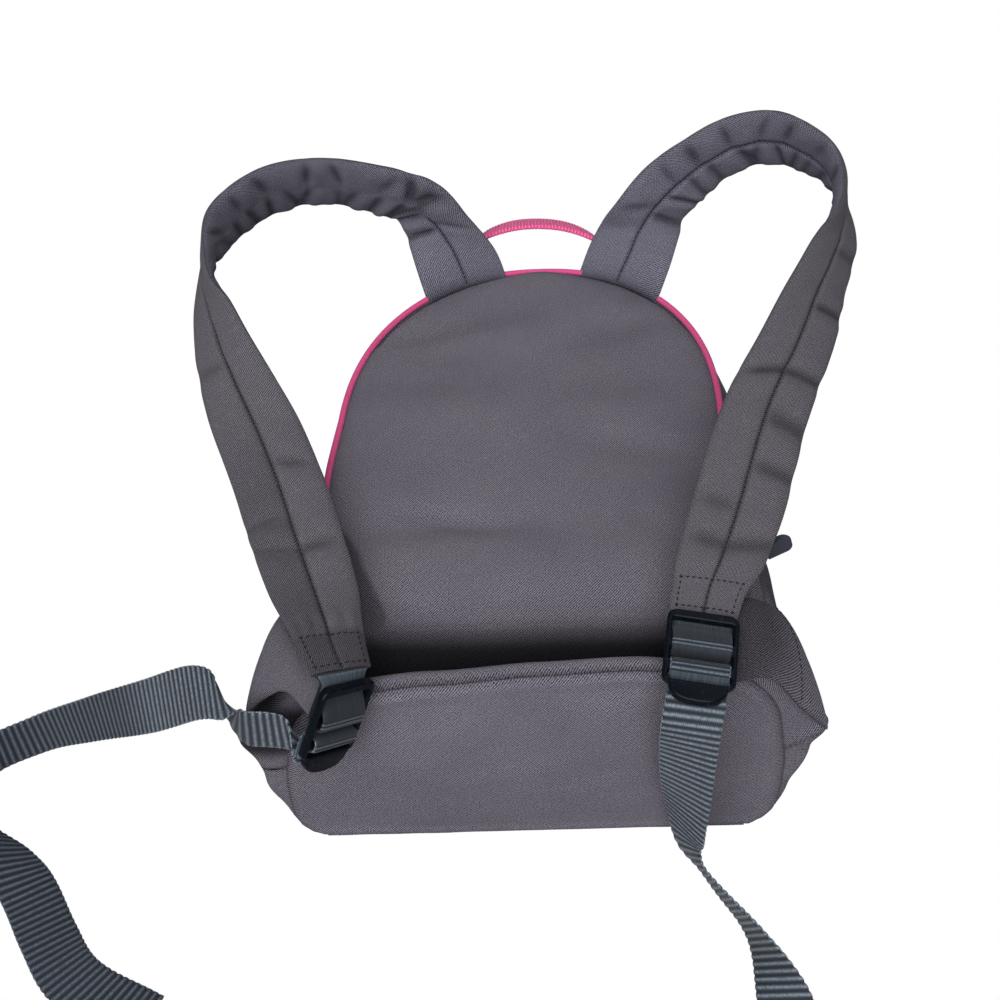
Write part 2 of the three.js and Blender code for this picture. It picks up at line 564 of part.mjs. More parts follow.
// Front panel: rings that follow the outline, round a flat sole with four corners
function frontPanel() {
  const heights = [0.5, 3, 8, 16, 30, 54, 78, 102, 125, ...ARCH_HEIGHTS];
  const outer = (side, y) => V(archShift(y) + side * halfWidth(y, FRONT_CORNER_CUT), y, 0);
  const left = heights.map((y) => outer(-1, y));
  const right = [...heights].reverse().map((y) => outer(1, y));
  const corners = [right.at(-1), left[0]];
  const base = [0.2, 0.4, 0.6, 0.8].map((share) => corners[0].clone().lerp(corners[1], share));
  const edge = [...left, ...right, ...base];
  const middle = V(archShift(SOLE.middleY), SOLE.middleY, 0);
  const rings = FRONT_RINGS.map((share) => edge.map((p) => {
    const { x, y } = middle.clone().lerp(p, share);
    return V(x, y, Math.max(frontHeight(x, y), SOLE.relief));
  }));
  const sole = SOLE.corners.map(({ x, y }) => V(x, y, 0));
  const lower = [...rings.flat(), ...sole];
  const points = [...lower, ...lower.map((p) => V(p.x, p.y, p.z + CLOTH))];
  const count = edge.length;
  const inner = (rings.length - 1) * count;
  const soleAt = rings.length * count;
  const faces = [];
  edge.forEach((_, k) => {
    const next = (k + 1) % count;
    for (let ring = 0; ring < inner; ring += count) {
      faces.push([ring + k, ring + next, ring + count + next], [ring + k, ring + count + next, ring + count + k]);
    }
    const nearest = (p) => sole.reduce((best, c, i) => (
      c.distanceTo(p) < sole[best].distanceTo(p) ? i : best), 0);
    const from = nearest(rings.at(-1)[k]);
    const to = nearest(rings.at(-1)[next]);
    faces.push([inner + k, inner + next, soleAt + to]);
    if (from !== to) faces.push([inner + k, soleAt + to, soleAt + from]);
  });
  faces.push([soleAt, soleAt + 1, soleAt + 2], [soleAt, soleAt + 2, soleAt + 3]);
  const over = faces.map(([a, b, c]) => [a, c, b].map((corner) => corner + lower.length));
  const rim = edge.flatMap((_, k) => {
    const next = (k + 1) % count;
    return [[next, k, k + lower.length], [next, k + lower.length, next + lower.length]];
  });
  return closedBody(points, [...faces, ...over, ...rim]);
}

// Outer face of the base panel
function baseY(x, z) {
  const across = 1 - ((x - BASE_SHIFT) / BASE_REACH) ** 2;
  const down = 1 - ((z - BASE_DEPTH / 2) / (BASE_DEPTH / 2)) ** 2;
  return BASE_LEAN * z / BASE_DEPTH - BASE_BULGE * Math.max(0, across) * Math.max(0, down);
}

function basePanel() {
  const columns = 13;
  const shares = [0, 0.04, 0.1, 0.2, 0.35, 0.5, 0.65, 0.8, 0.9, 0.96, 1];
  const bottom = FRONT_BASE_RISE + CLOTH + 2 * SEAM_GAP;
  const rows = shares.map((share) => Array.from({ length: columns }, (_, j) => {
    const x = BASE_SHIFT + baseReach(share) * (2 * j / (columns - 1) - 1);
    const top = backHeight(x, BASE_LEAN) - CLOTH - 2 * SEAM_GAP;
    const z = lerp(top, bottom, share);
    return V(x, baseY(x, z), z);
  }));
  return wall(rows, CLOTH, inward(rows, BAG_MIDDLE));
}

function backPiping() {
  const seam = GUSSET_COLUMNS.map(({ side, y }) => {
    const { x } = outline(side, y);
    return V(x, y, backSeam(side, y) - PIPING_DROP);
  });
  const section = new THREE.Shape().absarc(0, 0, PIPING_RADIUS, 0, 2 * Math.PI);
  const path = new THREE.CatmullRomCurve3(seam);
  return new THREE.ExtrudeGeometry(section, { steps: 76, curveSegments: 6, extrudePath: path });
}

// Axes of a buckle and the world place of a point given across, down and up from its back face
function buckleFrame({ middle, right, down }) {
  const along = V(...down).normalize();
  const across = V(...right);
  across.addScaledVector(along, -across.dot(along)).normalize();
  const front = along.clone().cross(across);
  const origin = V(...middle).addScaledVector(front, -BUCKLE.thickness / 2);
  const place = (a, d, u) => origin.clone()
    .addScaledVector(across, a)
    .addScaledVector(along, d)
    .addScaledVector(front, u);
  return { origin, across, along, front, place };
}

function buckleShape() {
  const { halfWidth: half, corner, shoulder, length, tongueHalf, rail } = BUCKLE;
  const shape = new THREE.Shape();
  shape.moveTo(-half + corner, 0);
  shape.lineTo(half - corner, 0);
  shape.quadraticCurveTo(half, 0, half, -corner);
  shape.lineTo(half, -shoulder);
  shape.quadraticCurveTo(half, -shoulder - corner, tongueHalf, -shoulder - corner);
  shape.bezierCurveTo(tongueHalf - 2, -length + 3, 6, -length, 0, -length);
  shape.bezierCurveTo(-6, -length, -tongueHalf + 2, -length + 3, -tongueHalf, -shoulder - corner);
  shape.quadraticCurveTo(-half, -shoulder - corner, -half, -shoulder);
  shape.lineTo(-half, -corner);
  shape.quadraticCurveTo(-half, 0, -half + corner, 0);
  for (const { from, to } of SLOTS) {
    const slot = new THREE.Path();
    slot.moveTo(-half + rail, -from);
    slot.lineTo(-half + rail, -to);
    slot.lineTo(half - rail, -to);
    slot.lineTo(half - rail, -from);
    shape.holes.push(slot);
  }
  return shape;
}

function buckle(frame) {
  const options = { depth: BUCKLE.thickness, bevelEnabled: false, curveSegments: 5 };
  const geometry = new THREE.ExtrudeGeometry(buckleShape(), options);
  const mesh = new THREE.Mesh(geometry, BLACK_PLASTIC);
  const axes = new THREE.Matrix4().makeBasis(frame.across, frame.along.clone().negate(), frame.front);
  mesh.quaternion.setFromRotationMatrix(axes);
  mesh.position.copy(frame.origin);
  return mesh;
}

// Places of a webbing run inside a buckle
function runPlaces(frame, run) {
  return run.map(({ down, up }) => ({ centre: frame.place(0, down, up), across: frame.across.clone() }));
}

function adjuster(frame, tail) {
  const inside = runPlaces(frame, ADJUSTER_RUN);
  const exit = inside.at(-1);
  const start = { centre: exit.centre.toArray(), across: exit.across.toArray() };
  const outside = routePlaces([start, ...tail], TAIL_STEPS).slice(1);
  return webbing([...inside, ...outside], WEBBING_THICKNESS, WEBBING_WIDTH);
}

function shoulderStrap(rows) {
  return paddedStrap(routePlaces(rows, STRAP_STEPS));
}

// Webbing loop from the end of a strap round the first bar of its buckle and back
function strapLoop(frame, rows) {
  const end = withFrames(routePlaces(rows, STRAP_STEPS)).at(-1);
  const towards = Math.sign(end.face.dot(frame.front));
  const sewn = (up) => ({
    centre: end.centre.clone()
      .addScaledVector(end.heading, 2 * SEAM_GAP)
      .addScaledVector(end.face, towards * up),
    across: end.across.clone().multiplyScalar(Math.sign(end.across.dot(frame.across))),
  });
  const run = runPlaces(frame, LOOP_RUN);
  return webbing([sewn(0.9), ...run, sewn(-0.9)], WEBBING_THICKNESS, WEBBING_WIDTH);
}

function anchorWing(frame, { tip, rows }) {
  const inside = tip.down.map((down) => frame.place(tip.across, down, WING_TIP_UP));
  const grid = [...rows.map((row) => row.map((p) => V(...p))), inside];
  return wall(grid, WING_THICKNESS, inward(grid, BAG_MIDDLE));
}

// Handle rows: sewn along the gusset at both ends, standing up between them
function grabHandle() {
  const sewn = ({ side, y }) => HANDLE_SEWN.map(({ share }) => {
    const { out } = outline(side, y);
    const lift = 2.5 * SEAM_GAP + HANDLE_THICKNESS / 2;
    return {
      centre: gussetPoint(side, y, share).addScaledVector(out, lift).toArray(),
      across: [out.y, -out.x, 0].map((value) => value * -side),
    };
  });
  const rows = [...sewn(HANDLE_ENDS.left), ...HANDLE_ARCH, ...sewn(HANDLE_ENDS.right).reverse()];
  return webbing(routePlaces(rows, HANDLE_STEPS), HANDLE_THICKNESS, HANDLE_WIDTH);
}

function zipSlider() {
  const { length, width, height } = SLIDER;
  const shape = new THREE.Shape();
  shape.moveTo(-length / 2, -width * 0.3);
  shape.lineTo(-length * 0.2, -width / 2);
  shape.lineTo(length / 2, -width * 0.42);
  shape.lineTo(length / 2, width * 0.42);
  shape.lineTo(-length * 0.2, width / 2);
  shape.lineTo(-length / 2, width * 0.3);
  shape.closePath();
  return new THREE.ExtrudeGeometry(shape, { depth: height, bevelEnabled: false });
}

function zipPull() {
  const { length, width, thickness } = PULL;
  const shape = new THREE.Shape();
  shape.moveTo(0, -width * 0.32);
  shape.lineTo(length - width / 2, -width / 2);
  shape.absarc(length - width / 2, 0, width / 2, -Math.PI / 2, Math.PI / 2);
  shape.lineTo(0, width * 0.32);
  shape.closePath();
  return new THREE.ExtrudeGeometry(shape, { depth: thickness, bevelEnabled: false, curveSegments: 6 });
}

const backpack = new THREE.Group();

function addPiece(name, geometry, material) {
  const mesh = geometry.isMesh ? geometry : new THREE.Mesh(geometry, material);
  mesh.name = name;
  backpack.add(mesh);
  return mesh;
}

addPiece('back_panel', backPanel(), TWILL);
addPiece('front_panel', frontPanel(), TWILL);
addPiece('base_panel', basePanel(), TWILL);
addPiece('gusset_back', gusset(0, -1), TWILL);
addPiece('gusset_front', gusset(1, 1), TWILL);
addPiece('zip_chain', zipChain(), ZIP_GREY);
addPiece('back_piping', backPiping(), PINK);
addPiece('grab_handle', grabHandle(), PINK);

for (const [name, rows, placing, tail, wing] of [
  ['left', STRAP_LEFT, BUCKLE_LEFT, TAIL_LEFT, WING_LEFT],
  ['right', STRAP_RIGHT, BUCKLE_RIGHT, TAIL_RIGHT, WING_RIGHT],
]) {
  const frame = buckleFrame(placing);
  addPiece(`strap_${name}`, shoulderStrap(rows), TWILL);
  addPiece(`strap_loop_${name}`, strapLoop(frame, rows), GREY_WEBBING);
  addPiece(`buckle_${name}`, buckle(frame));
  addPiece(`adjuster_${name}`, adjuster(frame, tail), GREY_WEBBING);
  addPiece(`anchor_wing_${name}`, anchorWing(frame, wing), TWILL);
}

// Slider on the right side of the zip, with its pull standing out
const sliderGroup = new THREE.Group();
const sliderSeat = gussetPoint(1, SLIDER_Y, 0.5);
sliderGroup.position.copy(sliderSeat).add(V(SEAM_GAP, 0, 0));
sliderGroup.rotation.set(0, Math.PI / 2, 0);
const slider = new THREE.Mesh(zipSlider(), ZIP_GREY);
slider.name = 'zip_slider';
slider.rotation.z = Math.PI / 2;
const pull = new THREE.Mesh(zipPull(), GREY_WEBBING);
pull.name = 'zip_pull';
pull.position.set(-SLIDER.width / 2, -PULL.thickness / 2, SLIDER.height + SEAM_GAP);
pull.rotation.set(Math.PI / 2, 0, 0);
pull.rotateZ(Math.PI - degToRad(PULL.tilt));
sliderGroup.add(slider, pull);
backpack.add(sliderGroup);

backpack.position.set(0, -REST_Y, 0);

export default backpack;
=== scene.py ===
"""Looks of a small arched backpack that lies on its front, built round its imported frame.

Sizes are millimetres in the bag's own frame: +X to the right, +Y from the base to the top
of the arch and +Z up from the floor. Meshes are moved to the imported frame, in metres, at
the end of their making.
"""

from __future__ import annotations

import logging
import math
from dataclasses import dataclass, field
from enum import Enum
from typing import Any, Sequence

import bpy
import numpy as np
from mathutils import Matrix, Vector, kdtree

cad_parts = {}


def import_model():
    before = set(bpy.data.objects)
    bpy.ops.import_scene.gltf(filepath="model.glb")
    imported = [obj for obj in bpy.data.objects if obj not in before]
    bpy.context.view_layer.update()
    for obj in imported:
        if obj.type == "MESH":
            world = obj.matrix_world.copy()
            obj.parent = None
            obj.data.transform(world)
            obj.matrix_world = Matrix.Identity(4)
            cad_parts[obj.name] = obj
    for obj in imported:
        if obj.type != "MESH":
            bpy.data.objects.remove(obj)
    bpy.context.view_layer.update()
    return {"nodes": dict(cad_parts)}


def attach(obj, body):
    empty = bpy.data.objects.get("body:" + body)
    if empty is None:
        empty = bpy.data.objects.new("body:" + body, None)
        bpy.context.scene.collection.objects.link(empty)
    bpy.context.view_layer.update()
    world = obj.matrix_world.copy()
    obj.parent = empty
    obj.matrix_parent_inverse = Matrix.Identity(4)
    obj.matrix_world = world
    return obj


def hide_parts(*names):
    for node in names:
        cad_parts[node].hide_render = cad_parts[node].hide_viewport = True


LOG = logging.getLogger("backpack")
Array = np.ndarray
Pair = tuple[float, float]
Triple = tuple[float, float, float]
Faces = list[tuple[int, ...]]
Piece = bpy.types.Object
Material = bpy.types.Material
Tree = bpy.types.NodeTree
Socket = bpy.types.NodeSocket
MM = 0.001
REST_Y = 95.0
BODY = "root"
SMOOTH_ANGLE = math.radians(50)


class Side(Enum):
    """Side of the bag, as the sign of X."""

    LEFT = -1
    RIGHT = 1

    @property
    def label(self) -> str:
        """Name of the side in piece names."""
        return self.name.lower()


def ease(at: Any, low: float, high: float) -> Any:
    """Eased share of the way from low to high, from 0 to 1."""
    share = np.clip((np.asarray(at, float) - low) / (high - low), 0.0, 1.0)
    return share * share * (3.0 - 2.0 * share)


def fall(at: Any, low: float, high: float) -> Any:
    """Eased share left on the way from low to high, from 1 to 0."""
    return 1.0 - ease(at, low, high)


def mound(at: Any, middle: float, reach: float) -> Any:
    """Smooth bump of height 1 about middle."""
    return np.exp(-(((np.asarray(at, float) - middle) / reach) ** 2))


def blend(start: Any, end: Any, share: Any) -> Any:
    """Value the share of the way from start to end."""
    return start + (end - start) * share


def grid_of(*parts: Any) -> Array:
    """Coordinates stacked as the last axis, each spread to the shape of all."""
    return np.stack(np.broadcast_arrays(*parts), axis=-1)


def deepest(*marks: Any) -> Array:
    """Largest of several marks at each place."""
    return np.maximum.reduce(np.broadcast_arrays(*marks))


def look_up(rows: Sequence[Sequence[float]], column: int, at: Any) -> Array:
    """Eased value of a table column.

    Args:
        rows: Table rows, sorted by their first column.
        column: Column to read.
        at: Places in the first column.

    Returns:
        Values of the column at those places.
    """
    table = np.asarray(rows, float)
    keys = table[:, 0]
    place = np.clip(np.asarray(at, float), keys[0], keys[-1])
    after = np.clip(np.searchsorted(keys, place), 1, len(keys) - 1)
    share = (place - keys[after - 1]) / (keys[after] - keys[after - 1])
    share = share * share * (3.0 - 2.0 * share)
    return blend(table[after - 1, column], table[after, column], share)


def ripple(x: Any, y: Any, length: float, seed: int, waves: int = 7) -> Array:
    """Smooth random field made of a few crossing waves.

    Args:
        x: First coordinates, in millimetres.
        y: Second coordinates, in millimetres.
        length: Typical wavelength.
        seed: Seed of the waves' directions and phases.
        waves: Number of waves.

    Returns:
        Values of about -1 to 1.
    """
    draw = np.random.default_rng(seed)
    total = np.zeros(np.broadcast(x, y).shape)
    for _ in range(waves):
        turn = draw.uniform(0, 2 * math.pi)
        stretch = draw.uniform(0.7, 1.5) * 2 * math.pi / length
        phase = draw.uniform(0, 2 * math.pi)
        total = total + np.sin(stretch * (np.cos(turn) * x + np.sin(turn) * y) + phase)
    return total / math.sqrt(waves * 2.0)


def unit(vectors: Array) -> Array:
    """Vectors scaled to length 1."""
    lengths = np.linalg.norm(vectors, axis=-1, keepdims=True)
    return vectors / np.maximum(lengths, 1e-9)


def through(points: Sequence[Sequence[float]], steps: int) -> Array:
    """Smooth curve through points, with spans eased by the distances between them.

    Args:
        points: Points on the curve.
        steps: Places for each span.

    Returns:
        Places on the curve, the last point included.
    """
    known = np.asarray(points, float)
    ends = [2 * known[0] - known[1], 2 * known[-1] - known[-2]]
    all_points = np.vstack([ends[:1], known, ends[1:]])
    share = (np.arange(steps) / steps)[:, None]
    spans = []
    for a, b, c, d in zip(all_points, all_points[1:], all_points[2:], all_points[3:]):
        pairs = ((a, b), (b, c), (c, d))
        before, span, after = (max(np.linalg.norm(q - p) ** 0.5, 1e-4) for p, q in pairs)
        leave = ((b - a) / before - (c - a) / (before + span) + (c - b) / span) * span
        arrive = ((c - b) / span - (d - b) / (span + after) + (d - c) / after) * span
        square = -3 * b + 3 * c - 2 * leave - arrive
        cube = 2 * b - 2 * c + leave + arrive
        spans.append(b + leave * share + square * share**2 + cube * share**3)
    return np.vstack([*spans, known[-1:]])


def soften(rows: Array, reach: int) -> Array:
    """Rows averaged with their neighbours, ends kept.

    Args:
        rows: Values along a run.
        reach: Neighbours to each side.

    Returns:
        Softer rows of the same shape.
    """
    weights = np.exp(-((np.arange(-2 * reach, 2 * reach + 1) / reach) ** 2))
    weights /= weights.sum()
    before = 2 * rows[:1] - rows[2 * reach : 0 : -1]
    after = 2 * rows[-1:] - rows[-2 : -2 * reach - 2 : -1]
    padded = np.vstack([before, rows, after])
    return np.stack([np.convolve(column, weights, "valid") for column in padded.T], axis=1)


def run_length(points: Array) -> Array:
    """Distance along a run of points, from its start."""
    steps = np.linalg.norm(np.diff(points, axis=0), axis=1)
    return np.concatenate([[0.0], np.cumsum(steps)])


def even_run(points: Array, others: Sequence[Array], step: float) -> tuple[Array, list[Array], Array]:
    """Run resampled at even steps.

    Args:
        points: Points of the run.
        others: Other values along it.
        step: Distance between the new points.

    Returns:
        The new points, the other values there and the distances along the run.
    """
    along = run_length(points)
    count = max(int(round(along[-1] / step)), 2)
    places = np.linspace(0, along[-1], count + 1)

    def sampled(values: Array) -> Array:
        """Values at the even places."""
        columns = np.atleast_2d(values.T)
        return np.stack([np.interp(places, along, column) for column in columns], axis=1)

    return sampled(points), [sampled(np.asarray(other, float)) for other in others], places


def to_metres(points: Array) -> list[list[float]]:
    """Points of the bag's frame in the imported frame."""
    return ((points - np.array([0.0, REST_Y, 0.0])) * MM).tolist()


def linked(name: str, data: bpy.types.ID) -> Piece:
    """New object with this data, linked to the scene."""
    made = bpy.data.objects.new(name, data)
    bpy.context.scene.collection.objects.link(made)
    return made


@dataclass
class Shell:
    """Points, faces and cloth coordinates of one mesh being made.

    Attributes:
        points: Vertices in the bag's frame, in millimetres.
        faces: Corners of each face.
        cloth: Cloth coordinates of each vertex, in millimetres.
        marks: Named values of each vertex.
    """

    points: Array
    faces: Faces
    cloth: Array
    marks: dict[str, Array] = field(default_factory=dict)

    def joined(self, other: Shell) -> Shell:
        """Both shells as one, without marks."""
        shift = len(self.points)
        return Shell(
            np.vstack([self.points, other.points]),
            self.faces + [tuple(corner + shift for corner in face) for face in other.faces],
            np.vstack([self.cloth, other.cloth]),
        )

    def to_object(self, name: str, smooth_angle: float = SMOOTH_ANGLE) -> Piece:
        """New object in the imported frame.

        Args:
            name: Name of the object.
            smooth_angle: Edges sharper than this angle stay sharp.

        Returns:
            The object, linked to the scene.
        """
        mesh = bpy.data.meshes.new(name)
        mesh.from_pydata(to_metres(self.points), [], self.faces)
        layer = mesh.uv_layers.new(name="cloth")
        corners = np.zeros(len(mesh.loops), dtype=np.int32)
        mesh.loops.foreach_get("vertex_index", corners)
        layer.data.foreach_set("uv", (self.cloth[corners] * MM).astype(np.float32).ravel())
        for key, values in self.marks.items():
            mark = mesh.attributes.new(key, "FLOAT", "POINT")
            mark.data.foreach_set("value", np.asarray(values, np.float32).ravel())
        mesh.validate()
        mesh.shade_smooth()
        mesh.set_sharp_from_angle(angle=smooth_angle)
        return linked(name, mesh)


def facing(points: Array, faces: Faces) -> Faces:
    """Faces of a closed shell turned so that they all point outwards."""
    volume = 0.0
    for face in faces:
        first = points[face[0]]
        for second, third in zip(face[1:], face[2:]):
            volume += float(np.dot(first, np.cross(points[second], points[third])))
    return faces if volume > 0 else [tuple(reversed(face)) for face in faces]


def grid_normals(grid: Array) -> Array:
    """Unit normals of a grid of points."""
    along = np.gradient(grid, axis=0)
    across = np.gradient(grid, axis=1)
    return unit(np.cross(along, across))


def wall(
    grid: Array, thickness: float, inside: Array, cloth: Array, marks: dict[str, Array] | None = None
) -> Shell:
    """Closed wall of even thickness under a grid of outer points.

    Args:
        grid: Outer points, by row and column.
        thickness: Thickness of the wall.
        inside: Point on the inner side, or an inner direction for each grid point.
        cloth: Cloth coordinates of the grid.
        marks: Named values of the grid points.

    Returns:
        The closed shell.
    """
    rows, columns = grid.shape[:2]
    if inside.ndim == 1:
        normals = grid_normals(grid)
        lean = np.sign(np.sum(normals * (inside - grid)))
        inner = grid + normals * lean * thickness
    else:
        inner = grid + inside * thickness
    points = np.vstack([grid.reshape(-1, 3), inner.reshape(-1, 3)])
    under = rows * columns
    index = np.arange(under).reshape(rows, columns)
    quads = grid_of(index[:-1, :-1], index[1:, :-1], index[1:, 1:], index[:-1, 1:]).reshape(-1, 4)
    faces = [tuple(quad) for quad in quads.tolist()]
    faces += [tuple(reversed(quad)) for quad in (quads + under).tolist()]
    rim = [*index[0, :-1], *index[:-1, -1], *index[-1, :0:-1], *index[:0:-1, 0]]
    for a, b in zip(rim, rim[1:] + rim[:1]):
        faces.append((int(a), int(b), int(b) + under, int(a) + under))
    both = {key: np.concatenate([np.ravel(values)] * 2) for key, values in (marks or {}).items()}
    flat = cloth.reshape(-1, 2)
    return Shell(points, facing(points, faces), np.vstack([flat, flat]), both)


def with_ends(values: Array) -> Array:
    """Values of all the rings, then the mean of the first ring and of the last."""
    flat = values.reshape(-1, values.shape[-1])
    return np.vstack([flat, values[0].mean(axis=0)[None], values[-1].mean(axis=0)[None]])


def loft(rings: Array, cloth: Array, marks: dict[str, Array] | None = None) -> Shell:
    """Closed body through rings of points, its ends closed by a middle point.

    Args:
        rings: Points by ring and place round it.
        cloth: Cloth coordinates of those points.
        marks: Named values of those points.

    Returns:
        The closed shell.
    """
    count, ring = rings.shape[:2]
    index = np.arange(count * ring).reshape(count, ring)
    after = np.roll(index, -1, axis=1)
    quads = grid_of(index[:-1], after[:-1], after[1:], index[1:]).reshape(-1, 4)
    faces = [tuple(quad) for quad in quads.tolist()]
    first, last = count * ring, count * ring + 1
    faces += [(int(b), int(a), first) for a, b in zip(index[0], after[0])]
    faces += [(int(a), int(b), last) for a, b in zip(index[-1], after[-1])]
    points = with_ends(rings)
    extra = {key: with_ends(values[..., None])[:, 0] for key, values in (marks or {}).items()}
    return Shell(points, facing(points, faces), with_ends(cloth), extra)


def tube(path: Array, radius: float, sides: int) -> Shell:
    """Round tube along a path.

    Args:
        path: Middle points.
        radius: Radius of the tube.
        sides: Points round the tube.

    Returns:
        The closed shell, with its distance along the path as cloth coordinate.
    """
    heading = unit(np.gradient(path, axis=0))
    normal = np.zeros_like(heading)
    helper = np.array([0.0, 0.0, 1.0]) if abs(heading[0][2]) < 0.9 else np.array([1.0, 0.0, 0.0])
    current = unit(np.cross(heading[0], helper))
    for place, direction in enumerate(heading):
        current = unit(current - direction * np.dot(current, direction))
        normal[place] = current
    second = np.cross(heading, normal)
    turn = np.linspace(0, 2 * math.pi, sides, endpoint=False)
    rings = path[:, None] + radius * (
        np.cos(turn)[None, :, None] * normal[:, None] + np.sin(turn)[None, :, None] * second[:, None]
    )
    return loft(rings, grid_of(turn[None] * radius, run_length(path)[:, None]))


class Sketch:
    """Adds nodes to a tree and links them."""

    def __init__(self, tree: Tree) -> None:
        """Keeps the tree and clears it."""
        self.tree = tree
        tree.nodes.clear()

    def socket(self, name: str, way: str, kind: str, value: Any = None) -> None:
        """New socket on the tree's interface, of a short type such as Float."""
        made = self.tree.interface.new_socket(name=name, in_out=way, socket_type=f"NodeSocket{kind}")
        if value is not None:
            made.default_value = value

    def add(self, kind: str, inputs: dict[Any, Any] | None = None, **settings: Any) -> bpy.types.Node:
        """New node with its settings and inputs.

        Args:
            kind: Type of the node.
            inputs: Values or sockets by input name or number.
            **settings: Other properties of the node.

        Returns:
            The node.
        """
        node = self.tree.nodes.new(kind)
        for key, value in settings.items():
            setattr(node, key, value)
        for key, value in (inputs or {}).items():
            target = node.inputs[key]
            if isinstance(value, bpy.types.NodeSocket):
                self.tree.links.new(value, target)
            else:
                target.default_value = value
        return node

    def math(self, operation: str, first: Any, second: Any = 0.0) -> Socket:
        """Output of a math node."""
        node = self.add("ShaderNodeMath", {0: first, 1: second}, operation=operation)
        return node.outputs[0]

    def mix(self, share: Any, first: Any, second: Any, way: str = "MIX") -> Socket:
        """Output of a colour mix."""
        node = self.add("ShaderNodeMix", {0: share, 6: first, 7: second}, data_type="RGBA", blend_type=way)
        return node.outputs[2]

    def spread(self, value: Any, low: float, high: float, to_low: float, to_high: float) -> Socket:
        """Value moved from one range to another."""
        node = self.add("ShaderNodeMapRange", {0: value, 1: low, 2: high, 3: to_low, 4: to_high})
        return node.outputs[0]

    def mark(self, name: str) -> Socket:
        """Named value of the mesh."""
        return self.add("ShaderNodeAttribute", attribute_name=name).outputs["Fac"]

    def effect(self, group: Tree, inputs: dict[str, Any]) -> Any:
        """Outputs of a shared effect, by name."""
        return self.add("ShaderNodeGroup", inputs, node_tree=group).outputs

    def bump(self, height: Any, distance: float, strength: float) -> Socket:
        """Normal of a bump node."""
        node = self.add("ShaderNodeBump", {"Strength": strength, "Distance": distance, "Height": height})
        return node.outputs[0]

    def surface(self, inputs: dict[str, Any]) -> None:
        """Principled shader with its inputs, at the material's output."""
        shader = self.add("ShaderNodeBsdfPrincipled", inputs)
        self.add("ShaderNodeOutputMaterial", {"Surface": shader.outputs[0]})


def new_material(name: str) -> tuple[Material, Sketch]:
    """New material and the sketch of its nodes."""
    made = bpy.data.materials.new(name)
    made.use_nodes = True
    return made, Sketch(made.node_tree)


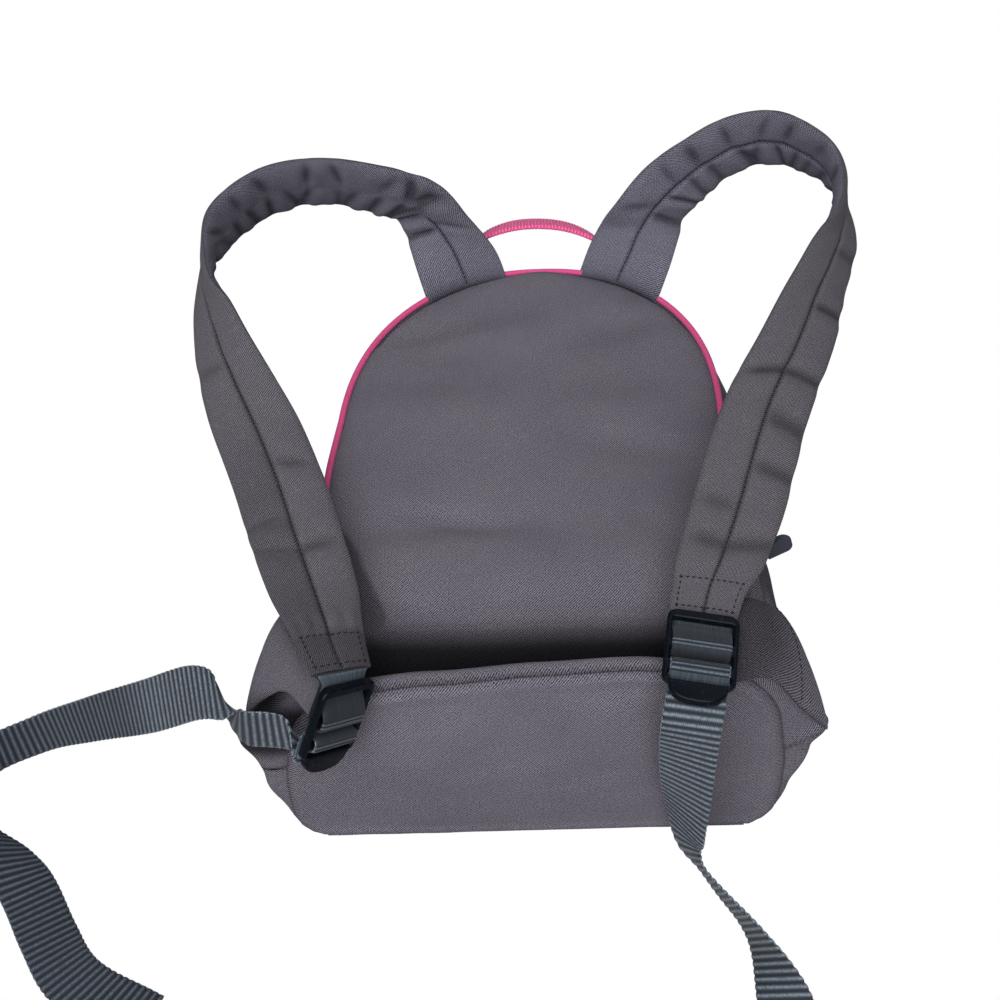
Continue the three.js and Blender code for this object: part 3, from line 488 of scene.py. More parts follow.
class Effects:
    """Shader groups that several finishes share."""

    def __init__(self) -> None:
        """Builds each group once."""
        self.twill = self._twill()
        self.ribs = self._ribs()
        self.fade = self._fade()

    @staticmethod
    def _group(
        name: str, inputs: Sequence[tuple[str, str, Any]], outputs: Sequence[tuple[str, str]]
    ) -> Sketch:
        """New shader group with its sockets."""
        sketch = Sketch(bpy.data.node_groups.new(name, "ShaderNodeTree"))
        for label, kind, value in inputs:
            sketch.socket(label, "INPUT", kind, value)
        for label, kind in outputs:
            sketch.socket(label, "OUTPUT", kind)
        return sketch

    def _twill(self) -> Tree:
        """Diagonal weave with broken floats, as height and as light and dark thread."""
        sketch = self._group(
            "TwillWeave",
            [("Vector", "Vector", None), ("Scale", "Float", 600.0), ("Crossing", "Float", 0.22)],
            [("Height", "Float"), ("Thread", "Float")],
        )
        given = sketch.add("NodeGroupInput").outputs
        flipped = sketch.add("ShaderNodeMapping", {"Vector": given["Vector"], "Scale": (-1.0, 1.0, 1.0)})
        diagonal = {"wave_type": "BANDS", "bands_direction": "DIAGONAL"}
        uneven = {"Distortion": 2.2, "Detail": 2.0, "Detail Scale": 1.3}
        floats = sketch.add(
            "ShaderNodeTexWave",
            {"Vector": flipped.outputs[0], "Scale": given["Scale"], **uneven},
            **diagonal,
        )
        turned = sketch.add("ShaderNodeMapping", {"Vector": given["Vector"], "Scale": (0.62, 0.62, 1.0)})
        crossing = sketch.add(
            "ShaderNodeTexWave",
            {"Vector": turned.outputs[0], "Scale": given["Scale"], "Distortion": 1.2, "Detail": 1.0},
            **diagonal,
        )
        fine = sketch.math("MULTIPLY", given["Scale"], 3.1)
        fleck = sketch.add("ShaderNodeTexNoise", {"Vector": given["Vector"], "Scale": fine, "Detail": 2.0})
        crossed = sketch.math("MULTIPLY", crossing.outputs["Fac"], given["Crossing"])
        woven = sketch.math("SUBTRACT", floats.outputs["Fac"], crossed)
        noisy = sketch.math("ADD", woven, sketch.spread(fleck.outputs["Fac"], 0.3, 0.7, -0.42, 0.42))
        thread = sketch.spread(noisy, -0.2, 0.85, 0.0, 1.0)
        sketch.add("NodeGroupOutput", {"Height": woven, "Thread": thread})
        return sketch.tree

    def _ribs(self) -> Tree:
        """Webbing weave: ribs across the run and fine threads along it."""
        sketch = self._group(
            "WebbingWeave",
            [("Vector", "Vector", None), ("Pitch", "Float", 0.0018), ("Thread pitch", "Float", 0.0007)],
            [("Height", "Float"), ("Thread", "Float")],
        )
        given = sketch.add("NodeGroupInput").outputs
        parts = sketch.add("ShaderNodeSeparateXYZ", {0: given["Vector"]})
        across, along = parts.outputs[0], parts.outputs[1]
        rib_turn = sketch.math("MULTIPLY", sketch.math("DIVIDE", along, given["Pitch"]), 2 * math.pi)
        wave = sketch.spread(sketch.math("COSINE", rib_turn), -1.0, 1.0, 0.0, 1.0)
        rib = sketch.math("POWER", wave, 1.8)
        thread_count = sketch.math("DIVIDE", across, given["Thread pitch"])
        thread_turn = sketch.math("MULTIPLY", thread_count, 2 * math.pi)
        leaning = sketch.math("ADD", thread_turn, sketch.math("MULTIPLY", rib_turn, 0.5))
        thread = sketch.spread(sketch.math("SINE", leaning), -1.0, 1.0, 0.0, 1.0)
        fleck = sketch.add("ShaderNodeTexNoise", {"Vector": given["Vector"], "Scale": 900.0, "Detail": 2.0})
        noisy = sketch.math("MULTIPLY", sketch.spread(fleck.outputs["Fac"], 0.3, 0.75, 0.45, 1.15), rib)
        light = sketch.math("MULTIPLY", noisy, sketch.spread(thread, 0.0, 1.0, 0.55, 1.0))
        height = sketch.math("ADD", sketch.math("MULTIPLY", rib, 0.7), sketch.math("MULTIPLY", thread, 0.3))
        sketch.add("NodeGroupOutput", {"Height": height, "Thread": light})
        return sketch.tree

    def _fade(self) -> Tree:
        """Broad uneven shade of worn cloth, from two sizes of cloud."""
        sketch = self._group(
            "ClothFade",
            [("Vector", "Vector", None), ("Scale", "Float", 22.0)],
            [("Cloud", "Float"), ("Dust", "Float")],
        )
        given = sketch.add("NodeGroupInput").outputs
        broad = sketch.add(
            "ShaderNodeTexNoise", {"Vector": given["Vector"], "Scale": given["Scale"], "Detail": 3.0}
        )
        fine = sketch.math("MULTIPLY", given["Scale"], 11.0)
        small = sketch.add("ShaderNodeTexNoise", {"Vector": given["Vector"], "Scale": fine, "Detail": 4.0})
        cloud = sketch.spread(broad.outputs["Fac"], 0.3, 0.7, 0.0, 1.0)
        dust = sketch.spread(small.outputs["Fac"], 0.58, 0.8, 0.0, 1.0)
        sketch.add("NodeGroupOutput", {"Cloud": cloud, "Dust": dust})
        return sketch.tree


def rgba(colour: Triple) -> tuple[float, float, float, float]:
    """Colour with full alpha."""
    return (*colour, 1.0)


@dataclass(frozen=True)
class TwillFinish:
    """Woven twill of the bag and straps.

    Attributes:
        name: Name of the material.
        thread: Colour of the raised thread.
        ground: Colour between the threads.
        cast: Colour that broad clouds lean to.
        weave_scale: Scale of the weave waves.
        depth: Height of the weave in the bump, in metres.
        crease_shade: Share of light left in the deepest seams.
        lining: Tint of the faces marked as inner.
        clouds: Share of the broad clouds.
        dust: Colour of the dust.
        dusty: Share of the dust.
    """

    name: str
    thread: Triple
    ground: Triple
    cast: Triple
    weave_scale: float = 600.0
    depth: float = 0.00022
    crease_shade: float = 0.04
    # Painted light: this tint lightens and blues the faces marked as inner, for how the light falls on them.
    lining: Triple = (1.3, 1.38, 1.5)
    clouds: float = 0.4
    dust: Triple = (0.5, 0.48, 0.5)
    dusty: float = 0.06

    def material(self, effects: Effects) -> Material:
        """New material of this finish."""
        made, sketch = new_material(self.name)
        place = sketch.add("ShaderNodeUVMap", uv_map="cloth").outputs[0]
        weave = sketch.effect(effects.twill, {"Vector": place, "Scale": self.weave_scale})
        fade = sketch.effect(effects.fade, {"Vector": place})
        woven = sketch.mix(weave["Thread"], rgba(self.ground), rgba(self.thread))
        cloudy = sketch.math("MULTIPLY", fade["Cloud"], self.clouds)
        clouded = sketch.mix(cloudy, woven, rgba(self.cast), "SOFT_LIGHT")
        dusty = sketch.math("MULTIPLY", fade["Dust"], self.dusty)
        dusted = sketch.mix(dusty, clouded, rgba(self.dust))
        # The seam mark darkens the seam lines and also carries painted shade: the hollow, cast shadows,
        # creases and faces turned from the light.
        kept = sketch.spread(sketch.mark("seam"), 0.0, 1.0, 1.0, self.crease_shade)
        shade = sketch.add("ShaderNodeCombineColor", {0: kept, 1: kept, 2: kept}).outputs[0]
        # Painted light on the faces marked as inner.
        face_lit = sketch.mix(1.0, dusted, rgba(self.lining), "MULTIPLY")
        turned = sketch.mix(sketch.mark("inner"), dusted, face_lit)
        sketch.surface({
            "Base Color": sketch.mix(1.0, turned, shade, "MULTIPLY"),
            "Roughness": sketch.spread(weave["Thread"], 0.0, 1.0, 0.96, 0.8),
            "Normal": sketch.bump(weave["Height"], self.depth, 0.65),
            "Specular IOR Level": 0.1,
            "Sheen Weight": 0.04,
            "Sheen Roughness": 0.45,
            "Sheen Tint": (0.8, 0.78, 0.9, 1.0),
        })
        return made


@dataclass(frozen=True)
class WebbingFinish:
    """Ribbed webbing.

    Attributes:
        name: Name of the material.
        ridge: Colour on the ribs.
        valley: Colour between the ribs.
        pitch: Distance between ribs, in metres.
        thread_pitch: Distance between threads, in metres.
        depth: Height of the weave in the bump, in metres.
        sheen: Sheen weight.
        reverse: Tint of the runs marked as inner.
        clouds: Share of the broad clouds.
    """

    name: str
    ridge: Triple
    valley: Triple
    pitch: float = 0.0018
    thread_pitch: float = 0.00075
    depth: float = 0.0003
    sheen: float = 0.1
    # Painted shade: this tint darkens the runs marked as inner, where the webbing lies in shade.
    reverse: Triple = (0.42, 0.46, 0.52)
    clouds: float = 0.06

    def material(self, effects: Effects) -> Material:
        """New material of this finish."""
        made, sketch = new_material(self.name)
        place = sketch.add("ShaderNodeUVMap", uv_map="cloth").outputs[0]
        pitches = {"Pitch": self.pitch, "Thread pitch": self.thread_pitch}
        weave = sketch.effect(effects.ribs, {"Vector": place, **pitches})
        fade = sketch.effect(effects.fade, {"Vector": place})
        woven = sketch.mix(weave["Thread"], rgba(self.valley), rgba(self.ridge))
        cloudy = sketch.math("MULTIPLY", fade["Cloud"], self.clouds)
        clouded = sketch.mix(cloudy, woven, rgba(self.ridge))
        # Painted shade on the runs marked as inner.
        turned = sketch.mix(1.0, clouded, rgba(self.reverse), "MULTIPLY")
        sketch.surface({
            "Base Color": sketch.mix(sketch.mark("inner"), clouded, turned),
            "Roughness": sketch.spread(weave["Thread"], 0.0, 1.0, 0.85, 0.55),
            "Normal": sketch.bump(weave["Height"], self.depth, 0.6),
            "Specular IOR Level": 0.4,
            "Sheen Weight": self.sheen,
            "Sheen Roughness": 0.4,
        })
        return made


@dataclass(frozen=True)
class MouldedFinish:
    """Moulded plastic or lacquered metal.

    Attributes:
        name: Name of the material.
        colour: Triple of the piece.
        rough: Lowest and highest roughness.
        metal: Metallic share.
        grain: Size of the moulded grain, as noise scale.
        depth: Height of the grain in the bump, in metres.
        dust: Colour of the dust.
        dusty: Share of the dust.
    """

    name: str
    colour: Triple
    rough: Pair = (0.26, 0.44)
    metal: float = 0.0
    grain: float = 700.0
    depth: float = 0.00003
    dust: Triple = (0.25, 0.26, 0.28)
    dusty: float = 0.05

    def material(self, effects: Effects) -> Material:
        """New material of this finish."""
        made, sketch = new_material(self.name)
        place = sketch.add("ShaderNodeTexCoord").outputs["Object"]
        fade = sketch.effect(effects.fade, {"Vector": place, "Scale": 60.0})
        grain = sketch.add("ShaderNodeTexNoise", {"Vector": place, "Scale": self.grain, "Detail": 3.0})
        dusty = sketch.math("MULTIPLY", fade["Dust"], self.dusty)
        sketch.surface({
            "Base Color": sketch.mix(dusty, rgba(self.colour), rgba(self.dust)),
            "Roughness": sketch.spread(fade["Cloud"], 0.0, 1.0, self.rough[0], self.rough[1]),
            "Metallic": self.metal,
            "Normal": sketch.bump(grain.outputs["Fac"], self.depth, 0.5),
            "Specular IOR Level": 0.09,
        })
        return made


@dataclass(frozen=True)
class FloorFinish:
    """Plain pale studio floor."""

    name: str = "pale_floor"
    colour: Triple = (0.3, 0.3, 0.32)

    def material(self) -> Material:
        """New material of this finish: even white to the camera and grey in the light that it returns."""
        made, sketch = new_material(self.name)
        seen = sketch.add("ShaderNodeLightPath").outputs["Is Camera Ray"]
        sketch.surface({
            "Base Color": sketch.mix(seen, rgba(self.colour), (0.0, 0.0, 0.0, 1.0)),
            "Roughness": 0.9,
            "Specular IOR Level": 0.0,
            "Emission Color": (1.0, 1.0, 1.0, 1.0),
            "Emission Strength": seen,
        })
        return made


class Finish(Enum):
    """Finishes of the backpack's pieces, with a material slot name for each."""

    PANEL = (
        "twill",
        TwillFinish("panel_twill", (0.222, 0.208, 0.246), (0.008, 0.0075, 0.0098), (0.27, 0.26, 0.33)),
    )
    STRAP = (
        "twill",
        TwillFinish("strap_twill", (0.148, 0.138, 0.158), (0.017, 0.0155, 0.0185), (0.52, 0.5, 0.55)),
    )
    PINK_CORD = (
        "pink_trim",
        WebbingFinish("pink_piping", (0.74, 0.11, 0.29), (0.5, 0.04, 0.17), 0.0011, 0.0008, 0.00018),
    )
    PINK_RIB = (
        "pink_trim",
        WebbingFinish("pink_handle_webbing", (0.95, 0.22, 0.46), (0.62, 0.05, 0.2), 0.0016),
    )
    WEBBING = (
        "grey_webbing",
        WebbingFinish("grey_webbing", (0.205, 0.255, 0.305), (0.006, 0.009, 0.014), 0.0029),
    )
    PLASTIC = ("black_plastic", MouldedFinish("black_buckle_plastic", (0.002, 0.0035, 0.0065), (0.18, 0.32)))
    ZIP = ("zip_tape", WebbingFinish("zip_tape", (0.09, 0.085, 0.095), (0.03, 0.028, 0.033), 0.0009, 0.0009))
    TEETH = ("zip_tape", MouldedFinish("zip_teeth", (0.03, 0.029, 0.032), (0.4, 0.55)))
    SLIDER = ("zip_metal", MouldedFinish("zip_slider_lacquer", (0.06, 0.06, 0.066), (0.3, 0.45), 0.7))
    PULL = (
        "zip_pull",
        MouldedFinish("zip_pull_rubber", (0.055, 0.064, 0.078), (0.5, 0.65), 0.0, 350.0, 0.0001),
    )
    THREAD = ("twill", MouldedFinish("dark_thread", (0.014, 0.013, 0.017), (0.7, 0.85)))

    @property
    def slot(self) -> str:
        """Material slot name of this finish."""
        return self.value[0]


class Dresser:
    """Makes each material once and dresses pieces with it."""

    def __init__(self) -> None:
        """Builds the shared effects."""
        self.effects = Effects()
        self.made: dict[Finish, Material] = {}

    def material(self, finish: Finish) -> Material:
        """Material of a finish."""
        if finish not in self.made:
            self.made[finish] = finish.value[1].material(self.effects)
        return self.made[finish]

    def dress(self, piece: Piece, finish: Finish, *nodes: str) -> Piece:
        """Gives a piece its finish and its body, and hides the CAD nodes that it stands for.

        Args:
            piece: Finished piece.
            finish: Finish of the piece.
            *nodes: CAD nodes that it replaces.

        Returns:
            The same piece.
        """
        piece.data.materials.clear()
        piece.data.materials.append(self.material(finish))
        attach(piece, BODY)
        if nodes:
            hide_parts(*nodes)
        LOG.info("%s: %d faces, %s", piece.name, len(piece.data.polygons), finish.name.lower())
        return piece


class RowShape(Enum):
    """Small shapes that are set in a row along a path."""

    STITCH = "stitch"
    TOOTH = "tooth"


class Trees:
    """Geometry node trees for what repeats along a path or a surface."""

    def __init__(self) -> None:
        """Builds each tree once."""
        self.rows = {shape: self._row(shape) for shape in RowShape}
        self.ribs = self._ribs()

    @staticmethod
    def _tree(name: str, inputs: Sequence[tuple[str, str, Any]]) -> Sketch:
        """New geometry tree with its sockets."""
        sketch = Sketch(bpy.data.node_groups.new(name, "GeometryNodeTree"))
        sketch.socket("Geometry", "INPUT", "Geometry")
        for label, kind, value in inputs:
            sketch.socket(label, "INPUT", kind, value)
        sketch.socket("Geometry", "OUTPUT", "Geometry")
        return sketch

    def _row(self, shape: RowShape) -> Tree:
        """Shapes at even steps along each line of a path mesh."""
        sizes = [("Pitch", "Float", 0.003), ("Length", "Float", 0.002), ("Width", "Float", 0.0006)]
        sketch = self._tree(f"RowOf_{shape.value}", [*sizes, ("Finish", "Material", None)])
        given = sketch.add("NodeGroupInput").outputs
        curve = sketch.add("GeometryNodeMeshToCurve", {"Mesh": given["Geometry"]})
        spaced = {"Curve": curve.outputs[0], "Length": given["Pitch"]}
        points = sketch.add("GeometryNodeCurveToPoints", spaced, mode="LENGTH")
        size = sketch.add("ShaderNodeCombineXYZ", {0: given["Width"], 1: given["Width"], 2: given["Length"]})
        if shape is RowShape.STITCH:
            ball = sketch.add("GeometryNodeMeshUVSphere", {"Segments": 8, "Rings": 6, "Radius": 0.5})
        else:
            ball = sketch.add("GeometryNodeMeshCube", {"Size": (1.0, 1.0, 1.0)})
        sized = sketch.add("GeometryNodeTransform", {"Geometry": ball.outputs[0], "Scale": size.outputs[0]})
        placed = sketch.add(
            "GeometryNodeInstanceOnPoints",
            {
                "Points": points.outputs["Points"],
                "Instance": sized.outputs[0],
                "Rotation": points.outputs["Rotation"],
            },
        )
        real = sketch.add("GeometryNodeRealizeInstances", {"Geometry": placed.outputs[0]})
        soft = sketch.add("GeometryNodeSetShadeSmooth", {"Geometry": real.outputs[0]})
        dressed = {"Geometry": soft.outputs[0], "Material": given["Finish"]}
        done = sketch.add("GeometryNodeSetMaterial", dressed)
        sketch.add("NodeGroupOutput", {"Geometry": done.outputs[0]})
        return sketch.tree

    def _ribs(self) -> Tree:
        """Rounded ribs across a webbing run, raised along the surface normal."""
        sizes = [("Pitch", "Float", 1.8), ("Depth", "Float", 0.0003)]
        sketch = self._tree("WebbingRibs", [*sizes, ("Finish", "Material", None)])
        given = sketch.add("NodeGroupInput").outputs
        run = sketch.add("GeometryNodeInputNamedAttribute", {"Name": "run"}, data_type="FLOAT")
        count = sketch.math("DIVIDE", run.outputs["Attribute"], given["Pitch"])
        turn = sketch.math("MULTIPLY", count, math.pi)
        rib = sketch.math("ABSOLUTE", sketch.math("COSINE", turn))
        lift = sketch.math("MULTIPLY", sketch.math("SUBTRACT", rib, 0.6), given["Depth"])
        normal = sketch.add("GeometryNodeInputNormal").outputs[0]
        offset = sketch.add("ShaderNodeVectorMath", {0: normal, "Scale": lift}, operation="SCALE")
        lifted = {"Geometry": given["Geometry"], "Offset": offset.outputs[0]}
        moved = sketch.add("GeometryNodeSetPosition", lifted)
        dressed = {"Geometry": moved.outputs[0], "Material": given["Finish"]}
        done = sketch.add("GeometryNodeSetMaterial", dressed)
        real = sketch.add("GeometryNodeRealizeInstances", {"Geometry": done.outputs[0]})
        sketch.add("NodeGroupOutput", {"Geometry": real.outputs[0]})
        return sketch.tree

    @staticmethod
    def apply(piece: Piece, tree: Tree, values: dict[str, Any]) -> Piece:
        """Runs a tree on a piece and keeps the result as its plain mesh.

        Args:
            piece: Object whose mesh goes in.
            tree: Geometry tree.
            values: Values by input name.

        Returns:
            The same object with the new mesh.
        """
        modifier = piece.modifiers.new(tree.name, "NODES")
        modifier.node_group = tree
        for item in tree.interface.items_tree:
            if item.item_type == "SOCKET" and item.in_out == "INPUT" and item.name in values:
                modifier[item.identifier] = values[item.name]
        bpy.context.view_layer.update()
        shown = piece.evaluated_get(bpy.context.evaluated_depsgraph_get())
        made = bpy.data.meshes.new_from_object(shown)
        made.name = piece.name
        piece.modifiers.remove(modifier)
        old = piece.data
        piece.data = made
        bpy.data.meshes.remove(old)
        return piece


class Workshop:
    """Shared trees and finishes, and the making of rows of stitches."""

    def __init__(self) -> None:
        """Builds the trees and the dresser."""
        self.trees = Trees()
        self.dresser = Dresser()

    def row(
        self,
        name: str,
        paths: Sequence[Array],
        sizes: Triple,
        finish: Finish = Finish.THREAD,
        shape: RowShape = RowShape.STITCH,
    ) -> Piece:
        """Row of small shapes along paths.

        Args:
            name: Name of the piece.
            paths: Paths in the bag's frame.
            sizes: Pitch, length and width, in millimetres.
            finish: Finish of the shapes.
            shape: Shape that is repeated.

        Returns:
            The dressed piece.
        """
        points = np.vstack(paths)
        edges: list[tuple[int, int]] = []
        start = 0
        for path in paths:
            edges += [(start + k, start + k + 1) for k in range(len(path) - 1)]
            start += len(path)
        mesh = bpy.data.meshes.new(name)
        mesh.from_pydata(to_metres(points), edges, [])
        piece = linked(name, mesh)
        pitch, length, width = (size * MM for size in sizes)
        values = {"Pitch": pitch, "Length": length, "Width": width, "Finish": self.dresser.material(finish)}
        self.trees.apply(piece, self.trees.rows[shape], values)
        return self.dresser.dress(piece, finish)

    def piece(self, name: str, shell: Shell, finish: Finish, *nodes: str) -> Piece:
        """Dressed piece from its shell."""
        return self.dresser.dress(shell.to_object(name), finish, *nodes)

    def webbing(
        self, name: str, shell: Shell, finish: Finish, pitch: float, depth: float, *nodes: str
    ) -> Piece:
        """Ribbed webbing piece from its smooth shell.

        Args:
            name: Name of the piece.
            shell: Smooth webbing with a run mark.
            finish: Finish of the webbing.
            pitch: Distance between ribs, in millimetres.
            depth: Height of the ribs, in millimetres.
            *nodes: CAD nodes that it replaces.

        Returns:
            The dressed piece.
        """
        piece = shell.to_object(name, math.radians(80))
        values = {"Pitch": pitch, "Depth": depth * MM, "Finish": self.dresser.material(finish)}
        self.trees.apply(piece, self.trees.ribs, values)
        return self.dresser.dress(piece, finish, *nodes)


@dataclass(frozen=True)
class BagForm:
    """Sizes of the bag's form and the surfaces that follow from them."""

    height: float = 257.0
    side_at_base: float = 90.0
    side_at_spring: float = 82.5
    spring: float = 150.0
    arch_power: float = 2.25
    back_cut: float = 16.0
    front_cut: float = 7.0
    corner_run: float = 22.0
    top_lean: float = 10.0
    lean_from: float = 120.0
    base_shift: float = -2.0
    base_depth: float = 90.0
    base_lean: float = 5.0
    base_bulge: float = 5.0
    base_reach: float = 93.0
    base_low_reach: float = 95.8
    base_tuck: float = 3.1
    base_level: float = 0.9
    gusset_depth: float = 90.0
    base_top: Pair = (74.0, 3.2)
    base_floor: Pair = (85.0, 7.0)
    back_seam_z: float = 86.0
    back_rise: float = 0.06
    lip_end: float = 10.0
    hollow_y: float = 18.0
    hollow_depth: float = 6.0
    hollow_fade: float = 35.0
    crown: float = 3.0
    front_edge_rise: float = 7.0
    front_edge_run: float = 24.0
    front_base_rise: float = 1.5
    front_base_run: float = 10.0
    cloth: float = 2.0
    front_fullness: float = 0.8
    right_fullness: float = 5.5
    ears: tuple[tuple[int, float, float, float], ...] = (
        (-1, 9.0, -0.42, 0.3), (1, 6.0, 0.0, 0.13), (1, 4.2, 0.76, 0.27),
    )
    seam_drift: float = 0.075
    ear_heights: Pair = (12.0, 27.0)
    lip: tuple[Pair, ...] = (
        (-75, 85.5), (-40, 89.6), (0, 93.2), (36, 94.8), (56, 93), (75, 89.5),
    )
    swell: tuple[Triple, ...] = (
        (8, 20, 2.2), (10.5, 20, 2.2), (16, 19, 2.1), (22, 17.5, 2.0), (30, 15, 2.0),
        (60, 11.5, 2.6), (150, 9, 2.6), (257, 7, 2.6),
    )
    dents: tuple[tuple[float, float, float, float, float], ...] = (
        (-42, 196, 34, 15, 2.4), (48, 185, 26, 22, 2.2), (52, 118, 34, 20, 3.0),
        (-46, 84, 36, 8, 2.6), (-6, 140, 42, 34, -2.2), (8, 62, 50, 16, -2.4),
    )

    def shift(self, y: Any) -> Array:
        """Sideways shift of the outline at a height."""
        share = np.maximum(0.0, np.asarray(y, float) - self.lean_from) / (self.height - self.lean_from)
        return self.top_lean * share**1.2 + self.base_shift * fall(y, 0.0, 80.0)

    def half(self, y: Any, cut: float) -> Array:
        """Half the width between the side seams at a height.

        Args:
            y: Heights along the bag.
            cut: Rounding of the lower corner.

        Returns:
            Half widths.
        """
        y = np.asarray(y, float)
        share = np.clip((y - self.spring) / (self.height - self.spring), 0.0, 1.0)
        arch = self.side_at_spring * (1.0 - share**self.arch_power) ** (1.0 / self.arch_power)
        side = blend(self.side_at_base, self.side_at_spring, y / self.spring)
        corner = np.clip(1.0 - (y - self.base_lean) / self.corner_run, 0.0, 1.0)
        return np.where(y > self.spring, arch, side - cut * (1.0 - np.sqrt(1.0 - corner * corner)))

    def edge(self, side: Any, y: Any, cut: float | None = None) -> Array:
        """Sideways place of the outline on one side."""
        return self.shift(y) + side * self.half(y, self.back_cut if cut is None else cut)

    def outward(self, side: Array, y: Array) -> Array:
        """Direction in which the gusset swells at places on the outline."""
        step = 0.01
        low = np.clip(y - step, 0.0, self.height - 2e-4)
        high = np.clip(y + step, 0.0, self.height - 1e-4)
        slope = (self.edge(side, high) - self.edge(side, low)) / np.maximum(high - low, 1e-6)
        normal = unit(grid_of(side * np.ones_like(y), -side * slope, 0.0))
        plain = grid_of(side * np.ones_like(y), 0.0, 0.0)
        share = ease(y, 1.4 * self.corner_run, 2.6 * self.corner_run)[..., None]
        return unit(blend(plain, normal, share))

    def back_seam(self, side: Any, y: Any) -> Array:
        """Height of the back panel's seam."""
        lip = look_up(self.lip, 1, np.asarray(side) * self.base_top[0])
        rise = self.back_seam_z + self.back_rise * np.asarray(y, float)
        return blend(lip, rise, ease(y, self.base_lean, self.hollow_fade))

    def back_height(self, x: Array, y: Array) -> Array:
        """Height of the back panel at any place."""
        u = np.clip((x - self.shift(y)) / np.maximum(self.half(y, self.back_cut), 1e-3), -1.0, 1.0)
        inner = 1.0 - u * u
        hollow = self.hollow_depth * mound(y, self.hollow_y, self.hollow_fade)
        hollow = hollow * np.minimum(1.0, 2.0 * inner)
        crown = self.crown * ease(y, 40.0, 130.0) * inner
        behind = self.back_seam_z + self.back_rise * y - hollow + crown
        middle = blend(look_up(self.lip, 1, x), behind, ease(y, self.lip_end, self.hollow_y))
        height = blend(middle, self.back_seam(np.where(u < 0, -1.0, 1.0), y), np.abs(u) ** 4)
        for dx, dy, reach_x, reach_y, depth in self.dents:
            near = mound(x, dx, reach_x) * mound(y, dy, reach_y)
            height = height - depth * near * np.minimum(1.0, 3.0 * inner)
        return height

    def front_height(self, x: Array, y: Array) -> Array:
        """Height of the front panel's underside at any place."""
        to_side = self.half(y, self.front_cut) - np.abs(x - self.shift(y))
        near = np.minimum(to_side, self.height - y)
        rise = self.front_edge_rise * fall(near, 0.0, self.front_edge_run)
        by_base = self.front_base_rise * fall(y, 0.0, self.front_base_run)
        return np.maximum(rise * ease(y, 0.0, 45.0), by_base)

    def gusset_point(self, side: Array, y: Array, share: Array) -> Array:
        """Place on the gusset.

        Args:
            side: Side of the bag, as a sign.
            y: Height along the outline.
            share: Share of the way from the back seam to the front seam.

        Returns:
            Points in the bag's frame.
        """
        side, y, share = np.broadcast_arrays(side, y, share)
        back = self.edge(side, y)
        front = self.edge(side, y, self.front_cut)
        top = self.back_seam(side, y) - 1.9
        bottom = self.front_height(front, y) + 0.8
        front_power = self.front_fullness * ease(y, 12.0, 45.0)
        power = look_up(self.swell, 2, y) + np.where(share > 0.5, front_power, 0.0)
        right_swell = self.right_fullness * mound(y, 175.0, 42.0)
        full = look_up(self.swell, 1, y) + np.where(side > 0, right_swell, 0.0)
        out = full * (1.0 - np.abs(2.0 * share - 1.0) ** power)
        near = fall(y, *self.ear_heights)
        for sign, reach, middle, spread in self.ears:
            out = out + (side == sign) * reach * near * mound(2.0 * share - 1.0, middle, spread)
        drift = share - side * self.seam_drift * near * np.sin(math.pi * share)
        flat = grid_of(blend(back, front, share), y, blend(top, bottom, drift))
        return flat + self.outward(side, y) * out[..., None]

    def base_half(self, share: Any) -> Array:
        """Reach of the base panel to each side, from its upper edge (0) to the floor (1)."""
        share = np.asarray(share, float)
        straight = np.where(share < 0.5, self.base_top[0], self.base_floor[0])
        power = np.where(share < 0.5, self.base_top[1], self.base_floor[1])
        reach = blend(self.base_reach, self.base_low_reach, ease(share, 0.3, 0.62))
        return blend(straight, reach, 1.0 - np.abs(2.0 * share - 1.0) ** power)

    def base_rim(self, side: float, share: Array) -> Array:
        """Points on the side seam of the base panel."""
        x = self.base_shift + side * (self.base_half(share) - 0.8)
        z = blend(look_up(self.lip, 1, x) - self.base_tuck, self.base_level, share)
        return grid_of(x, self.base_y(x, z) + 2.4, z)

    def base_y(self, x: Array, z: Array) -> Array:
        """Outer face of the base panel."""
        across = np.maximum(0.0, 1.0 - ((x - self.base_shift) / self.base_reach) ** 2)
        down = np.maximum(0.0, 1.0 - ((z - self.base_depth / 2) / (self.base_depth / 2)) ** 2)
        return self.base_lean * z / self.base_depth - self.base_bulge * across * down

    def heights(self, start: float, step: float, arch_step: float) -> Array:
        """Heights up one side of the outline, close together near the top.

        Args:
            start: Lowest height.
            step: Distance between heights on the straight side.
            arch_step: Angle between heights on the arch, in degrees.

        Returns:
            Heights from start to the top.
        """
        side = np.arange(start, self.spring, step)
        angles = np.radians(np.arange(0.0, 90.0, arch_step))
        arch = self.spring + (self.height - self.spring) * np.sin(angles) ** (2.0 / self.arch_power)
        return np.concatenate([side, arch])

    def rim(self, start: float, step: float = 2.0, arch_step: float = 1.2) -> tuple[Array, Array]:
        """Sides and heights all round the outline: up the left, over the arch, down the right."""
        up = self.heights(start, step, arch_step)
        side = np.concatenate([-np.ones(len(up)), np.ones(len(up))])
        return side, np.concatenate([up, up[::-1]])

    def seam(self, side: Array, y: Array) -> Array:
        """Points of the back panel's seam."""
        return grid_of(self.edge(side, y), y, self.back_seam(side, y) - 0.5)


MIDDLE = np.array([0.0, 110.0, 45.0])


STITCH = (2.3, 1.5, 0.55)
EDGE_THREAD = (2.9, 2.1, 0.6)
ZIP_TOOTH = (1.5, 0.85, 2.6)


